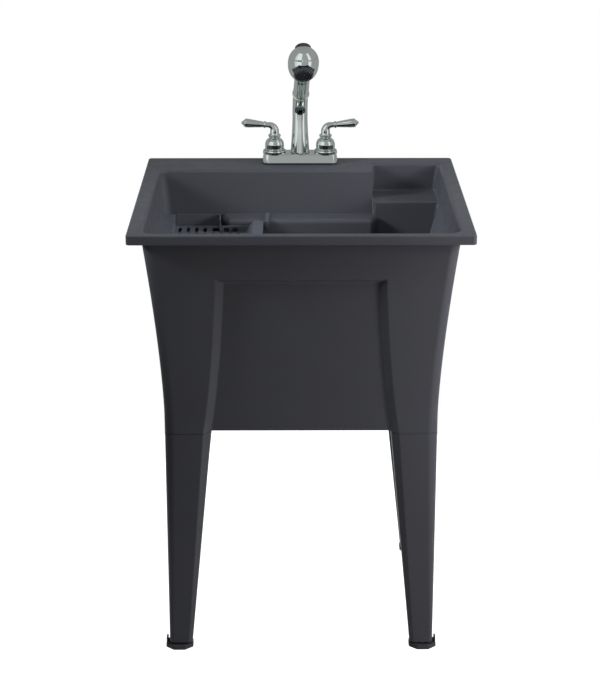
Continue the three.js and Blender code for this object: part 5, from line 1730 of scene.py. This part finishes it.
@dataclass
class Studio:
    """Camera, lights, pale floor and white surroundings. Sizes are in metres."""

    focal: float = 94.93
    pitch: float = 19.8
    yaw: float = 0.254
    eye: Place = (-0.0157, -3.2865, 1.724)
    floor_radius: float = 0.9
    floor_drop: float = 0.0003
    floor_glow: float = 0.97
    strip_glow: float = 0.34
    strip_span: Point = (0.022, 0.096)
    strip_gap: float = 0.0245
    blend: float = 0.012
    ground: Place = (0.04, 0.04, 0.04)
    sky: Place = (0.36, 0.36, 0.36)
    heights: tuple[Point, ...] = ((0.0, 0.018), (0.45, 0.03), (0.55, 0.05), (0.8, 0.09), (1.0, 0.105))
    windows: tuple[Point, ...] = (
        *((0.0, 0.32), (0.2, 0.38), (0.27, 0.34), (0.3, 0.75), (0.37, 1.0), (0.44, 1.0), (0.462, 0.42)),
        *((0.6, 0.38), (0.62, 1.0), (0.67, 1.0), (0.69, 0.38), (0.85, 0.38), (1.0, 0.32)),
    )
    level: tuple[Point, ...] = (
        *((0.0, 0.3), (0.3, 0.4), (0.36, 0.3), (0.38, 0.03), (0.455, 0.03), (0.465, 1.0), (0.48, 1.0)),
        *((0.487, 0.44), (0.53, 0.42), (0.55, 0.6), (0.58, 0.4), (1.0, 0.3)),
    )
    strips: tuple[Place, ...] = ((-16.0, -7.0, 1.0), (-7.0, 13.0, 0.42), (13.0, 30.0, 1.0))
    lamps: tuple[Lamp, ...] = (
        Lamp("key", (0.8, -0.7, 0.65), (0.25, -0.25, 0.5), (0.2, 1.2), 14.5, (1.0, 0.98, 0.98)),
        Lamp("top", (0.1, -0.7, 3.0), (0.0, 0.05, 0.75), (1.3, 1.0), 46.0),
        Lamp("left", (-1.4, -0.45, 1.5), (0.25, 0.05, 0.78), (0.4, 0.4), 2.6, spread=30.0),
        Lamp("right", (1.6, -0.3, 1.4), (-0.2, 0.0, 0.8), (0.4, 0.4), 6.6, spread=60.0),
        Lamp("front", (0.0, -2.6, 2.6), (0.0, 0.0, 0.8), (1.2, 0.8), 1.0, spread=90.0),
        Lamp("rear_left", (-1.6, 1.7, 0.9), (0.0, 0.2, 0.5), (0.8, 0.8), 55.0),
        Lamp("rear_right", (1.6, 1.7, 0.9), (0.0, 0.2, 0.5), (0.8, 0.8), 55.0),
    )

    def camera(self) -> None:
        """Places the camera at the photograph's viewing angle."""
        data = bpy.data.cameras.new("camera")
        data.lens = self.focal
        data.sensor_width = 36.0
        data.clip_end = 60.0
        camera = placed("camera", data)
        camera.location = self.eye
        camera.rotation_euler = (math.radians(90 - self.pitch), 0, math.radians(-self.yaw))
        bpy.context.scene.camera = camera

    def reflectors(self) -> None:
        """Stands faint strips of light before the spout, which only metal shows."""
        x, y, z = (size * MILLIMETRE for size in Tap().axis)
        low, high, front = z + self.strip_span[0], z + self.strip_span[1], y - self.strip_gap
        for left, right, glow in self.strips:
            place = (x + (left + right) / 2 * MILLIMETRE, front, (low + high) / 2)
            size = ((right - left) * MILLIMETRE, high - low)
            power = self.strip_glow * math.pi * size[0] * size[1] * glow
            aim = (place[0], y, place[2])
            strip = Lamp("strip", place, aim, size, power, (1.0, 1.0, 1.0), 90.0).build()
            strip.visible_glossy, strip.visible_diffuse = True, False

    def floor(self) -> None:
        """Lays the pale floor, which glows a little so that it stays white under the sink."""
        mesh = bmesh.new()
        bmesh.ops.create_circle(mesh, cap_ends=True, radius=self.floor_radius, segments=96)
        floor = plain("floor", mesh)
        floor.data.transform(Matrix.Translation((0, 0, -self.floor_drop)))
        grey = (0.3, 0.3, 0.3)
        pale = Finish("pale_floor", grey, 0.8, unevenness=0.01, grain_height=0.0, specular=0.0).build()
        shader = next(node for node in pale.node_tree.nodes if node.type == "BSDF_PRINCIPLED")
        shader.inputs["Emission Color"].default_value = (1.0, 1.0, 1.0, 1.0)
        shader.inputs["Emission Strength"].default_value = self.floor_glow
        floor.data.materials.append(pale)
        floor.visible_diffuse = False

    def surroundings(self) -> None:
        """Makes a white background and the grey room with bright and dark bands that metal shows."""
        world = bpy.data.worlds.new("studio")
        bpy.context.scene.world = world
        world.use_nodes = True
        nodes = Nodes(world.node_tree)
        way = nodes.add("ShaderNodeTexCoord").outputs["Generated"]
        parts = nodes.add("ShaderNodeSeparateXYZ", {"Vector": way}).outputs
        front = nodes.out("ShaderNodeMath", {0: parts["Y"], 1: -1.0}, operation="MULTIPLY")
        bearing = nodes.out("ShaderNodeMath", {0: parts["X"], 1: front}, operation="ARCTAN2")
        share = self.share(nodes, bearing, -math.pi, math.pi)
        windows, level = self.ramp(nodes, share, self.windows), self.ramp(nodes, share, self.level)
        bands: object = (*self.ground, 1.0)
        for start, shown in ((-0.72, windows), (-0.06, level), (0.1, windows), (0.86, (*self.sky, 1.0))):
            reached = self.share(nodes, parts["Z"], start - self.blend, start + self.blend)
            bands = nodes.out("ShaderNodeMixRGB", {0: reached, 1: bands, 2: shown})
        soft = self.ramp(nodes, self.share(nodes, parts["Z"], -1.0, 1.0), self.heights)
        banded, plain_, white = (
            nodes.out("ShaderNodeBackground", {"Color": colour, "Strength": 1.0})
            for colour in (bands, soft, (1, 1, 1, 1))
        )
        path = nodes.add("ShaderNodeLightPath").outputs
        lit = nodes.out("ShaderNodeMixShader", {0: path["Is Glossy Ray"], 1: plain_, 2: banded})
        seen = nodes.out("ShaderNodeMixShader", {0: path["Is Camera Ray"], 1: lit, 2: white})
        nodes.add("ShaderNodeOutputWorld", {"Surface": seen})

    def share(self, nodes: Nodes, value: Socket, low: float, high: float) -> Socket:
        """Adds the share of the way from low to high at which a value stands."""
        return nodes.out("ShaderNodeMapRange", {"Value": value, "From Min": low, "From Max": high})

    def ramp(self, nodes: Nodes, share: Socket, stops: Sequence[Point]) -> Socket:
        """Adds a ramp of greys.

        Args:
            nodes: The tree that it joins.
            share: What it reads, from 0 to 1.
            stops: Where each grey stands and how bright it is.

        Returns:
            The ramp's colour.
        """
        node = nodes.add("ShaderNodeValToRGB", {"Fac": share})
        elements = node.color_ramp.elements
        while len(elements) < len(stops):
            elements.new(1.0)
        for element, (where, value) in zip(elements, stops):
            element.position = where
            element.color = (value, value, value, 1)
        return node.outputs[0]

    def build(self) -> None:
        """Sets the studio up."""
        self.camera()
        self.floor()
        self.surroundings()
        self.reflectors()
        for lamp in self.lamps:
            lamp.build()
        bpy.context.scene.view_settings.view_transform = "Standard"


# ---------------------------------------------------------------- all together


def main() -> None:
    """Loads the frame and builds the looks round it."""
    logging.basicConfig(level=logging.INFO, format="%(name)s: %(message)s")
    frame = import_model()
    low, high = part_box("drain_flange")
    drain_y = (low.y + high.y) / 2 / MILLIMETRE
    workshop = Workshop(frame)
    workshop.dress_nodes()
    Studio().build()
    Tub(drain_y).build(workshop)
    for corner in CORNERS:
        Leg(corner).build(workshop)
    Caddy().build(workshop)
    Tap().build(workshop)
    Drain(drain_y).build(workshop)
    bpy.context.view_layer.update()


if __name__ == "__main__":
    main()
